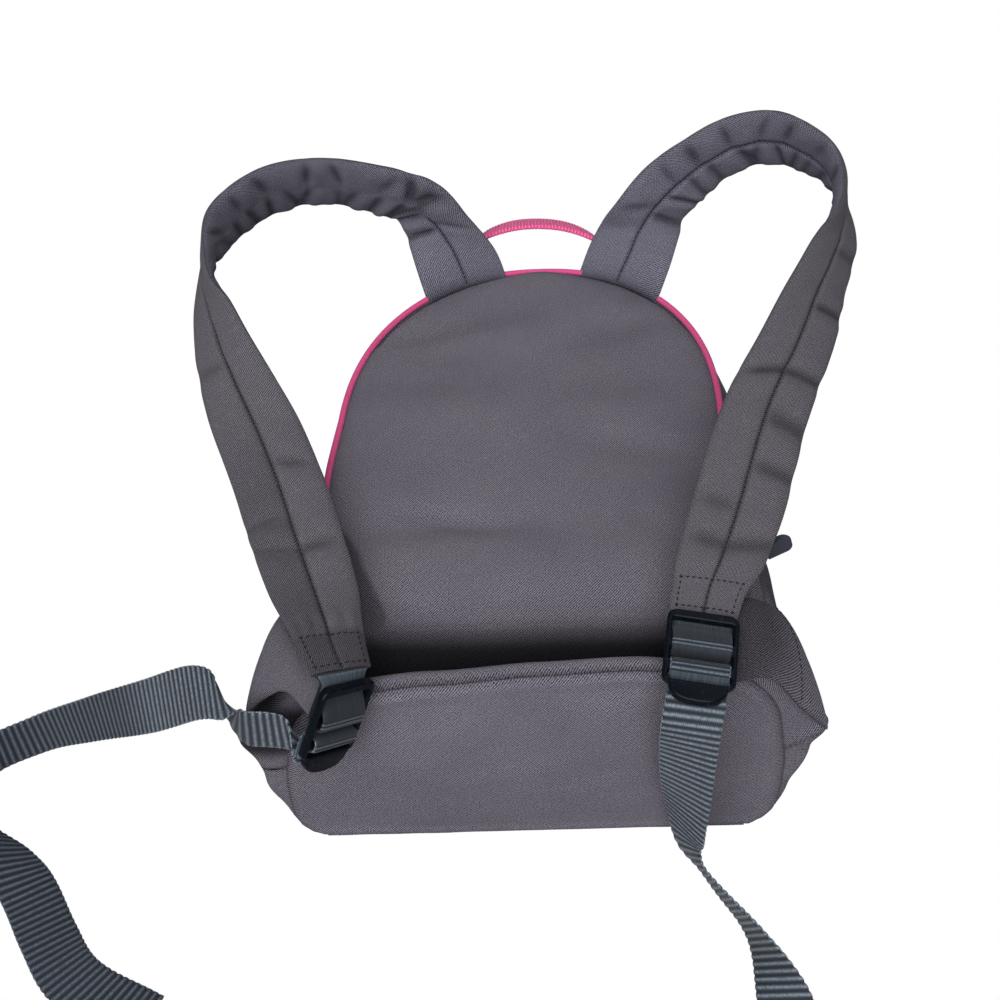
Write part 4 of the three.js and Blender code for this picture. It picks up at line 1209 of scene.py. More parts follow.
@dataclass
class Panels:
    """Cloth walls of the bag: back, base, front and the two halves of the gusset."""

    shop: Workshop
    form: BagForm
    tuck: float = 0.3
    row_step: float = 1.5
    arch_step: float = 1.0
    wave: float = 0.35
    lip_roll: float = 2.6
    trough: Triple = (6.5, 17.0, 6.0)
    zip_gap: float = 0.004
    folds: tuple[tuple[float, float, float, float, float, float], ...] = (
        (-62, 205, -20, 213, 7.0, 1.5),
        (-30, 214, 10, 219, 9.0, 0.8),
        (20, 196, 70, 214, 8.0, 1.1),
        (-66, 168, -18, 164, 10.0, 1.0),
        (10, 158, 66, 170, 9.0, 0.9),
        (24, 128, 68, 122, 9.0, 1.3),
        (-60, 92, -16, 82, 4.5, 1.6),
        (-18, 82, 12, 84, 6.0, 0.7),
        (30, 92, 60, 70, 8.0, 1.0),
        (-70, 46, -30, 40, 6.0, 1.1),
        (26, 44, 60, 40, 7.0, 0.9),
    )
    # Width of the left strap's painted cast shadow past its inner edge, by height.
    strap_shade: tuple[Pair, ...] = (
        (5, 0), (15, 0), (22, 4), (29, 7), (41, 8.8), (53, 7.3), (75, 4.5), (100, 1), (257, 0),
    )
    # Painted shade by height: full in the hollow above the lip, then a faint darkening of the lower panel.
    hollow_shade: tuple[Pair, ...] = (
        (5, 1), (25.5, 1), (27, 0.95), (29, 0.85), (31, 0.75), (33, 0.61), (35.3, 0.4), (40, 0.16),
        (50, 0.08), (90, 0.06), (170, 0), (257, 0),
    )
    # Inner edge of the left strap over the panel, by height, where its painted shadow starts.
    strap_edge: tuple[Pair, ...] = (
        (0, -60), (20, -64.5), (39, -67), (66, -74.4), (90, -82.4), (115, -92.4), (138, -103),
    )

    def fold_depth(self, x: Array, y: Array) -> Array:
        """Depth of the soft folds pressed into the back panel."""
        depth = np.zeros_like(x)
        for x0, y0, x1, y1, reach, deep in self.folds:
            run = np.array([x1 - x0, y1 - y0])
            share = np.clip(((x - x0) * run[0] + (y - y0) * run[1]) / (run @ run), 0.0, 1.0)
            gap = np.hypot(x - x0 - share * run[0], y - y0 - share * run[1])
            depth = depth + deep * mound(gap, 0.0, reach) * (0.35 + 0.65 * np.sin(math.pi * share))
        return depth

    def back(self) -> Piece:
        """Back panel with its folds, its stiff lip and the hollow behind the lip."""
        form = self.form
        y = form.heights(form.base_lean, self.row_step, self.arch_step)
        across = np.linspace(-1.0, 1.0, 123)
        left, right = form.edge(-1.0, y), form.edge(1.0, y)
        middle, half = (left + right) / 2, (right - left) / 2 - self.tuck
        x = middle[:, None] + half[:, None] * np.sign(across) * np.abs(across) ** 0.9
        rows = np.broadcast_to(y[:, None], x.shape)
        side, up = form.rim(form.base_lean, self.row_step, self.arch_step)
        near = self.distance_to(grid_of(form.edge(side, up), up), grid_of(x, rows))
        high = ease(rows, 185.0, 240.0)
        roll = np.clip((form.lip_end - rows) / (form.lip_end - form.base_lean), 0.0, 1.0)
        off_sides = ease(np.abs(across)[None], 1.0, 0.82)
        z = form.back_height(x, rows) - self.fold_depth(x, rows)
        z = z + self.wave * ripple(x, rows, 60.0, 11) * ease(near, 2.0, 22.0)
        z = z - (1.7 + 1.9 * high) * np.exp(-near / (3.2 + 2.4 * high))
        z = z - self.lip_roll * (1.0 - np.sqrt(1.0 - 0.96 * roll**2))
        deep, at, reach = self.trough
        z = z - deep * mound(rows, at, reach) * off_sides
        seam = self.back_shade(x, rows, near, off_sides)
        grid = grid_of(x, rows - 1.2 * roll**2, z)
        shell = wall(grid, form.cloth, MIDDLE, grid_of(x, rows), {"seam": seam})
        piece = self.shop.piece("back_panel_cloth", shell, Finish.PANEL, "back_panel")
        return piece

    def back_shade(self, x: Array, rows: Array, near: Array, off_sides: Array) -> Array:
        """Dark of the back panel: its seam lines, painted shade in its hollow and folds, and the left
        strap's painted cast shadow.

        Args:
            x: Sideways places.
            rows: Heights along the bag.
            near: Distances to the side seam.
            off_sides: Share of the hollow's shade, which ends short of the sides.

        Returns:
            Seam and painted-shade marks, from 0 to 1.
        """
        # Painted shade in the hollow behind the lip, fading to a faint darkening of the lower panel.
        hollow = ease(rows, 10.0, 12.5) * look_up(self.hollow_shade, 1, rows) * off_sides
        # Painted cast shadow of the left strap, beside its inner edge.
        under = x - look_up(self.strap_edge, 1, rows) - look_up(self.strap_shade, 1, rows)
        cast = 0.58 * fall(under, -0.5, 3.0) * fall(rows, 95.0, 140.0)
        side_seam = 0.42 * np.exp(-near / 1.4)
        base_seam = 0.6 * np.exp(-(rows - self.form.base_lean) / 0.8)
        # Painted shade in the folds.
        folds = 0.14 * np.clip(self.fold_depth(x, rows), 0.0, 1.6)
        return deepest(side_seam, hollow, base_seam, cast, folds)

    @staticmethod
    def distance_to(path: Array, points: Array) -> Array:
        """Distance of flat points to a flat path."""
        dense = even_run(np.column_stack([path, np.zeros(len(path))]), [], 0.8)[0]
        tree = kdtree.KDTree(len(dense))
        for place, point in enumerate(dense.tolist()):
            tree.insert(point, place)
        tree.balance()
        flat = points.reshape(-1, 2)
        found = [tree.find((px, py, 0.0))[2] for px, py in flat.tolist()]
        return np.array(found).reshape(points.shape[:-1])

    def base(self) -> Piece:
        """Base panel, rounded at its corners, with a rolled seam all round."""
        form = self.form
        share = np.linspace(0.0, 1.0, 71)[:, None]
        across = np.linspace(-1.0, 1.0, 141)[None]
        x = form.base_shift + form.base_half(share) * across
        top = form.back_height(x, np.full_like(x, form.base_lean)) - form.base_tuck
        z = blend(top, form.base_level, share)
        flat = grid_of(x, z)
        rim = np.vstack([flat[0], flat[:, -1], flat[-1, ::-1], flat[::-1, 0]])
        near = self.distance_to(rim, flat)
        inner = ease(near, 3.0, 20.0)
        y = form.base_y(x, z)
        y = y - 0.5 * ripple(x, z, 48.0, 23) * inner - 0.25 * ripple(x * 0.5, z, 17.0, 5) * inner
        y = y + 1.8 * np.exp(-near / 1.5) - 0.9 * mound(near, 4.2, 2.0)
        puckers = np.sin(0.9 * (x + z)) * np.exp(-near / 5.0)
        y = y - 0.16 * puckers
        seam = 0.75 * np.exp(-near / 0.8)
        shell = wall(grid_of(x, y, z), form.cloth, MIDDLE, flat, {"seam": seam})
        piece = self.shop.piece("base_panel_cloth", shell, Finish.PANEL, "base_panel")
        return piece

    def front(self) -> Piece:
        """Front panel that the bag lies on."""
        form = self.form
        y = form.heights(0.4, 3.0, 2.0)
        across = np.linspace(-1.0, 1.0, 81)
        half = form.half(y, form.front_cut)[:, None]
        x = form.shift(y)[:, None] + half * np.sign(across) * np.abs(across) ** 0.85
        rows = np.broadcast_to(y[:, None], x.shape)
        z = form.front_height(x, rows)
        lifted = ease(z, 0.2, 2.0)
        z = z + 0.25 * lifted * (1.0 + ripple(x, rows, 26.0, 31))
        marks = {"seam": np.zeros_like(x)}
        shell = wall(grid_of(x, rows, z), form.cloth, MIDDLE, grid_of(x, rows), marks)
        piece = self.shop.piece("front_panel_cloth", shell, Finish.PANEL, "front_panel")
        return piece

    def closing(self, row: Array, side: float, shares: Array) -> Array:
        """Rows that round the lower end of the gusset on to the base panel's seam.

        Args:
            row: Lowest row of the gusset.
            side: Side of the bag, as a sign.
            shares: Shares of the way from the back seam to the front seam.

        Returns:
            Rows from the seam to just short of the gusset.
        """
        rim = self.form.base_rim(side, shares)
        turn = np.linspace(0.0, math.pi / 2, 10)[:-1, None]
        made = np.empty((len(turn), len(shares), 3))
        made[..., 0] = blend(rim[:, 0], row[:, 0], np.sin(turn))
        made[..., 1] = blend(row[:, 1], rim[:, 1], np.cos(turn))
        made[..., 2] = blend(rim[:, 2], row[:, 2], np.sin(turn) ** 0.8)
        return made

    def gusset(self, name: str, node: str, shares: Array, seed: int) -> Piece:
        """One half of the gusset.

        Args:
            name: Name of the piece.
            node: CAD node that it replaces.
            shares: Shares of the way from the back seam to the front seam.
            seed: Seed of its wrinkles.

        Returns:
            The dressed piece.
        """
        form = self.form
        side, y = form.rim(10.0, 1.6, 1.3)
        grid = form.gusset_point(side[:, None], y[:, None], shares[None])
        left, right = self.closing(grid[0], -1.0, shares), self.closing(grid[-1], 1.0, shares)
        grid = np.concatenate([left, grid, right[::-1]])
        side = np.concatenate([np.full(len(left), -1.0), side, np.full(len(right), 1.0)])
        y = np.concatenate([np.full(len(left), y[0]), y, np.full(len(right), y[-1])])
        along = run_length(grid[:, grid.shape[1] // 2])
        wide = shares[None] * self.form.gusset_depth
        inner = np.sin(math.pi * np.clip(np.abs(shares - 0.5) * 2.0, 0.0, 1.0))[None]
        wave = ripple(along[:, None] * 0.55, wide, 26.0, seed)
        low = fall(y, 30.0, 90.0)
        out = form.outward(side, y)[:, None]
        grid = grid + out * (wave * inner * (0.7 + 0.9 * low[:, None]))[..., None]
        seam = self.gusset_shade(side[:, None], y[:, None], shares[None])
        inward = -np.broadcast_to(out, grid.shape)
        shell = wall(grid, form.cloth, inward, grid_of(wide, along[:, None]), {"seam": seam})
        piece = self.shop.piece(name, shell, Finish.PANEL, node)
        return piece

    def gusset_shade(self, side: Array, y: Array, shares: Array) -> Array:
        """Dark of the gusset: its seam lines, and painted shade in the corner under the left wing and on the
        side under the right strap.

        Args:
            side: Side of each row, as a sign.
            y: Height of each row.
            shares: Shares of the way from the back seam to the front seam.

        Returns:
            Seam and painted-shade marks, from 0 to 1.
        """
        by_zip = 0.65 * np.exp(-np.abs(shares - 0.5) * self.form.gusset_depth / 0.8)
        by_panel = 0.6 * np.exp(-np.minimum(shares, 1.0 - shares) * self.form.gusset_depth / 1.4)
        # Painted shade under the left wing and on the right side under the strap.
        corner = fall(np.abs(shares - 0.26), 0.1, 0.2) * fall(y, 25.0, 45.0)
        upper = ease(y, 38.0, 55.0) * fall(y, 120.0, 190.0)
        under_wing = np.where(side < 0, 0.9, 0.0) * corner
        under_strap = np.where(side > 0, 0.62, 0.0) * upper
        return deepest(by_zip, by_panel, under_wing, under_strap)

    def build(self) -> None:
        """Builds all the cloth walls."""
        self.back()
        self.base()
        self.front()
        ends = ((0.0, 0.5 - self.zip_gap), (1.0, 0.5 + self.zip_gap))
        back, front = (np.linspace(*pair, 27) for pair in ends)
        self.gusset("gusset_back_cloth", "gusset_back", back, 41)
        self.gusset("gusset_front_cloth", "gusset_front", front, 43)


@dataclass(frozen=True)
class StrapRow:
    """One place on a strap's route.

    Attributes:
        centre: Middle of the strap.
        across: Direction from its inner to its outer edge.
        width: Width of the strap.
        pad: Thickness of the padding.
    """

    centre: Triple
    across: Triple
    width: float = 36.0
    pad: float = 6.5


@dataclass(frozen=True)
class Crease:
    """One crease pressed across a strap.

    Attributes:
        at: Place along the route, in rows.
        lobe: Edge that it starts from: -1 inner, 1 outer, 0 both.
        depth: Depth of the crease.
        reach: Half width of the crease.
        slant: Shift along the strap from the middle to the edge.
        face: Face that shows it: 1 upper, -1 lower, 0 both.
    """

    at: float
    lobe: int
    depth: float
    reach: float
    slant: float = 0.0
    face: int = 0


STRAP_ROWS: dict[Side, tuple[StrapRow, ...]] = {
    Side.RIGHT: (
        StrapRow((47.2, 239.5, 103.2), (0.83, -0.56, 0), 45, 1.6),
        StrapRow((57.8, 263.8, 116), (0.97, -0.25, -0.04), 39.5, 5),
        StrapRow((64, 267, 128), (0.91, 0.17, -0.37)),
        StrapRow((74, 268, 140), (0.81, 0.13, -0.57)),
        StrapRow((87, 268, 152), (0.58, 0.28, -0.76)),
        StrapRow((102, 268, 161), (0.39, 0.3, -0.87)),
        StrapRow((119, 263, 166), (0.2, 0.35, -0.92)),
        StrapRow((131, 251, 166), (0.05, 0.48, -0.88)),
        StrapRow((140, 237, 164), (0.04, 0.65, -0.76)),
        StrapRow((142, 221, 158), (0.2, 0.86, -0.48)),
        StrapRow((135, 194, 151), (0.72, 0.56, -0.42)),
        StrapRow((122, 167, 143), (0.84, 0.4, -0.37)),
        StrapRow((111, 142, 136), (0.94, 0.18, -0.29)),
        StrapRow((98, 118, 128), (0.97, 0.01, -0.25)),
        StrapRow((88, 94, 122), (0.98, -0.07, -0.19)),
        StrapRow((78, 67, 113), (0.98, -0.1, -0.15)),
        StrapRow((68, 43, 106), (0.97, -0.12, -0.1), 33, 5.5),
        StrapRow((63.2, 33, 103.6), (0.97, -0.16, -0.06), 27, 4.4),
        StrapRow((59.4, 21.4, 101.3), (0.975, -0.16, -0.08), 25, 3.6),
    ),
    Side.LEFT: (
        StrapRow((-26.4, 242.4, 103.3), (-0.885, -0.465, 0), 44, 1.6),
        StrapRow((-33, 257, 115), (-1, -0.06, -0.02), 40, 5),
        StrapRow((-41.6, 260.3, 130), (-0.96, 0.2, -0.19), 33),
        StrapRow((-51, 258, 141), (-0.68, 0.29, -0.67)),
        StrapRow((-68, 257, 148), (-0.34, 0.41, -0.85)),
        StrapRow((-91, 253, 155), (-0.07, 0.46, -0.89)),
        StrapRow((-113, 245, 156), (0.11, 0.48, -0.87)),
        StrapRow((-128, 232, 153), (0.21, 0.56, -0.8)),
        StrapRow((-136, 220, 149), (0.13, 0.61, -0.78)),
        StrapRow((-140, 201, 140), (-0.23, 0.83, -0.51)),
        StrapRow((-136, 183, 135), (-0.58, 0.62, -0.52)),
        StrapRow((-130, 163, 129), (-0.77, 0.44, -0.46)),
        StrapRow((-120, 138, 121), (-0.94, 0.16, -0.32)),
        StrapRow((-110, 115, 115), (-0.98, -0.12, -0.13)),
        StrapRow((-100, 90, 109), (-0.98, -0.13, -0.14)),
        StrapRow((-92, 66, 104), (-0.98, -0.1, -0.1)),
        StrapRow((-83, 39, 101), (-0.97, -0.17, 0.05), 33, 5.5),
        StrapRow((-77, 19.5, 103), (-0.93, -0.28, 0.2), 27, 4.4),
        StrapRow((-73.5, 8, 103), (-0.88, -0.36, 0.3), 25.5, 4),
        StrapRow((-70, -0.6, 101), (-0.76, -0.5, 0.4), 25, 3.6),
    ),
}
STRAP_CREASES: dict[Side, tuple[Crease, ...]] = {
    Side.RIGHT: (
        Crease(11.3, 1, 1.6, 2.2, 5.0), Crease(12.6, 0, 1.5, 2.4, 4.0), Crease(10.2, 1, 1.0, 2.6, 6.0),
        Crease(14.4, 1, 1.2, 3.4, 3.0), Crease(15.7, 0, 1.1, 3.4, -3.0), Crease(13.5, 1, 1.2, 4.4, 6.0),
        Crease(15.1, -1, 0.9, 3.6, -4.0),
    ),
    Side.LEFT: (
        Crease(3.1, -1, 2.6, 2.2, 7.0), Crease(2.7, 0, 1.2, 2.6, 5.0), Crease(13.6, -1, 0.9, 3.0, 4.0),
        Crease(14.6, 1, 1.0, 2.6, 4.0), Crease(15.3, 0, 1.0, 2.8, -4.0), Crease(11.5, 1, 0.7, 3.0, 4.0),
    ),
}


@dataclass
class ShoulderStrap:
    """Padded shoulder strap: two lobes either side of a stitched middle line."""

    shop: Workshop
    form: BagForm
    side: Side
    steps: int = 28
    places: int = 33
    groove: float = 0.5
    profile: Pair = (2.8, 0.55)
    half_flat: float = 18.0
    bend_rows: Pair = (1.4, 9.4)
    bend_pitch: float = 12.5
    plain_rows: Pair = (2.4, 9.2)
    lobes: tuple[tuple[int, float, float], ...] = ((1, 1.0, 1.5), (-1, 1.25, 1.25))
    edge_pinch: Pair = (0.005, 0.014)
    upper: Array = field(init=False)
    lower: Array = field(init=False)
    along: Array = field(init=False)
    row_at: Array = field(init=False)
    shares: Array = field(init=False)
    # Painted shade of the creases, on the upper and lower face.
    dark: Array = field(init=False)

    def place_of(self, row: float) -> float:
        """Distance along the strap of a place in rows."""
        return float(np.interp(row, self.row_at, self.along))

    def creases(self) -> list[Crease]:
        """Creases of this strap: those that the photo shows singly and the gathers of its bend."""
        draw = np.random.default_rng(7 if self.side is Side.RIGHT else 19)
        listed = list(STRAP_CREASES[self.side])
        rows = np.linspace(*self.bend_rows, 400)
        lengths = np.interp(rows, self.row_at, self.along)
        for lobe, stretch, depth in self.lobes:
            pitch = stretch * self.bend_pitch
            at = lengths[0] + draw.uniform(0.2, 0.8) * pitch
            while at < lengths[-1]:
                row = float(np.interp(at, lengths, rows))
                deep = depth * draw.uniform(0.6, 1.25)
                reach = draw.uniform(1.3, 3.0)
                listed.append(Crease(row, lobe, deep, reach, draw.uniform(-6.5, 6.5), self.side.value))
                at += pitch * draw.uniform(0.7, 1.3)
        return listed

    def pressed(self) -> tuple[Array, Array]:
        """Presses all the creases and keeps the painted shade that they leave.

        Returns:
            Depth on the upper and lower face, and how much each edge is pinched.
        """
        s = self.shares
        press = np.zeros((2, len(self.along), self.places))
        self.dark = np.zeros_like(press)
        pinch = np.zeros((len(self.along), 2))
        for crease in self.creases():
            middle = self.place_of(crease.at)
            gap = self.along[:, None] - middle - crease.slant * np.abs(s)[None]
            swell = 0.32 * mound(np.abs(gap), 3.2 * crease.reach, 1.6 * crease.reach)
            line = 1.0 / (1.0 + (gap / crease.reach) ** 2) - swell
            reach = np.ones_like(s) if crease.lobe == 0 else ease(s * crease.lobe, -0.12, 0.35)
            reach = (reach * blend(1.0, 0.25, ease(-s, 0.5, 0.95)))[None]
            for number, sign in enumerate((1, -1)):
                if crease.face in (0, sign):
                    press[number] += crease.depth * line * reach
                    # Painted shade in the crease.
                    self.dark[number] += 0.4 * crease.depth * mound(gap, 0.0, crease.reach) * reach
            edge_line = mound(self.along - middle, crease.slant, 1.3 * crease.reach)
            for number, lobe in enumerate((-1, 1)):
                if crease.lobe in (0, lobe):
                    pinch[:, number] += self.edge_pinch[number] * crease.depth * edge_line
        return press, pinch

    def shape(self) -> tuple[Array, Array]:
        """Faces of the strap.

        Returns:
            Upper and lower face points, by place along the strap and across it.
        """
        rows = STRAP_ROWS[self.side]
        centre = soften(through([row.centre for row in rows], self.steps), 7)
        across = unit(soften(through([row.across for row in rows], self.steps), 7))
        knots = np.arange(len(rows))
        self.row_at = np.linspace(0, len(rows) - 1, len(centre))
        self.along = run_length(centre)
        sizes = [[row.width, row.pad] for row in rows]
        sizes = [np.interp(self.row_at, knots, column) for column in np.transpose(sizes)]
        width, pad = soften(np.stack(sizes, axis=1), 8).T
        face = unit(np.cross(across, unit(np.gradient(centre, axis=0))))
        even = np.linspace(-1.0, 1.0, self.places)
        s = 0.55 * np.sin(even * math.pi / 2) + 0.45 * even
        self.shares = s
        flatness, roundness = self.profile
        body = ((1.0 - np.abs(s) ** flatness) ** roundness)[None]
        dip = self.groove * mound(s, 0.0, 0.06)[None]
        press, pinch = self.pressed()
        to_end = self.along[-1] - self.along
        gather = fall(to_end, 13.0, 26.0)[:, None]
        tug = 0.5 * np.sin(s[None] * 15.0) * mound(to_end, 20.0, 7.0)[:, None]
        wide = np.where(s[None] < 0, 1.0 - pinch[:, :1], 1.0 - pinch[:, 1:])
        plump = np.maximum(body, 0.13) * pad[:, None] / 2
        soft = 0.22 * ripple(self.along[:, None], s[None] * self.half_flat, 21.0, 3 + self.side.value)
        loose = (soft + tug) * np.minimum(1.0, pad[:, None] / 5.0) * body
        flat = centre[:, None] + across[:, None] * (s[None] * width[:, None] / 2 * wide)[..., None]
        faces = []
        for number, sign in enumerate((1, -1)):
            half = plump * (1.0 - self.line_seen(sign)[:, None] * dip)
            lift = half - np.minimum(press[number], 0.8 * half) + loose * sign
            lift = blend(lift, np.minimum(lift, 1.7 * body + 0.3), gather)
            faces.append(flat + face[:, None] * (sign * lift)[..., None])
        return self.seated(*faces)

    def line_seen(self, face: int) -> Array:
        """How clearly the stitched middle line shows along a face: the left strap's bend hides it."""
        if self.side is Side.RIGHT or face > 0:
            return np.ones_like(self.row_at)
        first, last = self.plain_rows
        starts = ease(self.row_at, first - 0.4, first)
        return 1.0 - 0.9 * starts * fall(self.row_at, last, last + 0.4)

    def seated(self, upper: Array, lower: Array) -> tuple[Array, Array]:
        """Bends the root of the strap to the curve of the bag's seam."""
        form = self.form
        sign = float(self.side.value)
        y = np.linspace(form.spring, form.height - 0.05, 500)
        x = form.edge(np.full_like(y, sign), y)
        order = np.argsort(x)
        inner, outer = ((upper[0, place, 0] + lower[0, place, 0]) / 2 for place in (0, -1))
        wanted = blend(inner, outer, (self.shares + 1.0) / 2)
        target = np.stack([wanted, np.interp(wanted, x[order], y[order])], axis=-1)
        shift = np.zeros_like(upper[0])
        shift[:, :2] = target - (upper[0, :, :2] + lower[0, :, :2]) / 2
        shift[:, :2] -= 2.2 * unit(target - np.array([form.shift(200.0), 160.0]))
        shift[:, 2] = form.back_seam(sign, target[:, 1]) - 2.4 - (upper[0, :, 2] + lower[0, :, 2]) / 2
        fade = fall(self.along, 0.0, 22.0)[:, None, None]
        return upper + shift[None] * fade, lower + shift[None] * fade

    def at(self, distance: Array, share: Array, face: int = 1, lift: float = 0.12) -> Array:
        """Points on a face of the strap.

        Args:
            distance: Distances along the strap.
            share: Places across it, from -1 to 1.
            face: 1 for the upper face, -1 for the lower.
            lift: Height over the face.

        Returns:
            Points in the bag's frame.
        """
        grid = self.upper if face > 0 else self.lower
        i = np.interp(distance, self.along, np.arange(len(self.along)))
        j = np.interp(share, self.shares, np.arange(self.places))
        i0 = np.clip(i.astype(int), 0, len(self.along) - 2)
        j0 = np.clip(j.astype(int), 0, self.places - 2)
        fi, fj = (i - i0)[:, None], (j - j0)[:, None]
        near = blend(grid[i0, j0], grid[i0, j0 + 1], fj)
        far = blend(grid[i0 + 1, j0], grid[i0 + 1, j0 + 1], fj)
        other = (self.lower if face > 0 else self.upper)[i0, j0]
        return blend(near, far, fi) + unit(grid[i0, j0] - other) * lift

    def build(self) -> None:
        """Builds the strap and its stitches."""
        self.upper, self.lower = self.shape()
        rings = np.concatenate([self.upper, self.lower[:, ::-1]], axis=1)
        across = self.shares * self.half_flat
        flat = np.concatenate([across, 60.0 - across[::-1]])
        sides = np.full(self.places, float(self.side is Side.RIGHT))
        seam = self.shade()
        # The inner mark picks the face that the finish lightens and blues, as painted light.
        inner = np.broadcast_to(np.concatenate([sides, 1.0 - sides])[None], seam.shape)
        shell = loft(rings, grid_of(flat[None], self.along[:, None]), {"seam": seam, "inner": inner})
        label = self.side.label
        piece = self.shop.piece(f"strap_{label}_pad", shell, Finish.STRAP, f"strap_{label}")
        self.stitch()

    def shade(self) -> Array:
        """Dark of the strap round its rings: its lines, and painted shade in its creases, at its root and on
        the left strap's lower run.

        Returns:
            Seam and painted-shade marks, from 0 to 1.
        """
        line = 0.6 * mound(self.shares, 0.0, 0.02)[None]
        edge = 0.25 * np.exp(-((1 - np.abs(self.shares)) / 0.05))[None]
        upper, lower = (self.line_seen(face)[:, None] * line + edge for face in (1, -1))
        lines = np.concatenate([upper, lower[:, ::-1]], axis=1)
        # Painted shade on the left strap: its lower end and the outer half of its lower run.
        end_shade = 0.42 if self.side is Side.LEFT else 0.0
        outer = (end_shade * 0.6) * ease(self.shares, -0.06, 0.12)
        low = ease(self.row_at, 12.2, 14.2)[:, None]
        low_outer = np.concatenate([outer, outer[::-1]])[None] * low
        end = end_shade * fall(self.along[-1] - self.along, 14.0, 20.0)[:, None]
        # Painted shade at the root, where the strap meets the bag's seam.
        root = 0.9 * np.exp(-self.along / 3.5)[:, None]
        # Painted shade in the creases.
        creases = np.minimum(np.concatenate([self.dark[0], self.dark[1][:, ::-1]], axis=1), 0.62)
        return deepest(lines, low_outer, end, root, creases)

    def stitch(self) -> None:
        """Stitches the middle line of both faces and the box at the buckle."""
        length = self.along[-1]
        run = np.linspace(3.0, length - 17.0, 500)
        paths = []
        for face in (1, -1):
            seen = np.interp(run, self.along, self.line_seen(face)) > 0.5
            breaks = np.flatnonzero(np.diff(seen.astype(int))) + 1
            for part, shown in zip(np.split(run, breaks), np.split(seen, breaks)):
                if shown[0] and len(part) > 1:
                    paths.append(self.at(part, np.zeros_like(part), face))
        near, far = length - 2.2, length - 15.0
        wide = 0.8
        for face in (1, -1):
            sides = np.linspace(-wide, wide, 30)
            ends = np.linspace(near, far, 20)
            paths += [self.at(np.full_like(sides, place), sides, face) for place in (near, far)]
            paths += [self.at(ends, np.full_like(ends, share), face) for share in (-wide, 0.0, wide)]
        self.shop.row(f"strap_{self.side.label}_stitches", paths, STITCH)


@dataclass(frozen=True)
class BucklePlace:
    """Place of a ladder buckle.

    Attributes:
        middle: Middle of its top edge.
        right: Direction to its right.
        down: Direction down the buckle.
    """

    middle: Triple
    right: Triple
    down: Triple


BUCKLE_PLACES: dict[Side, BucklePlace] = {
    Side.RIGHT: BucklePlace((59.3, 19, 104.4), (0.97, -0.16, -0.08), (-0.176, -0.955, -0.24)),
    Side.LEFT: BucklePlace((-67, -5, 99.5), (0.6, 0.62, -0.49), (-0.357, -0.341, -0.87)),
}


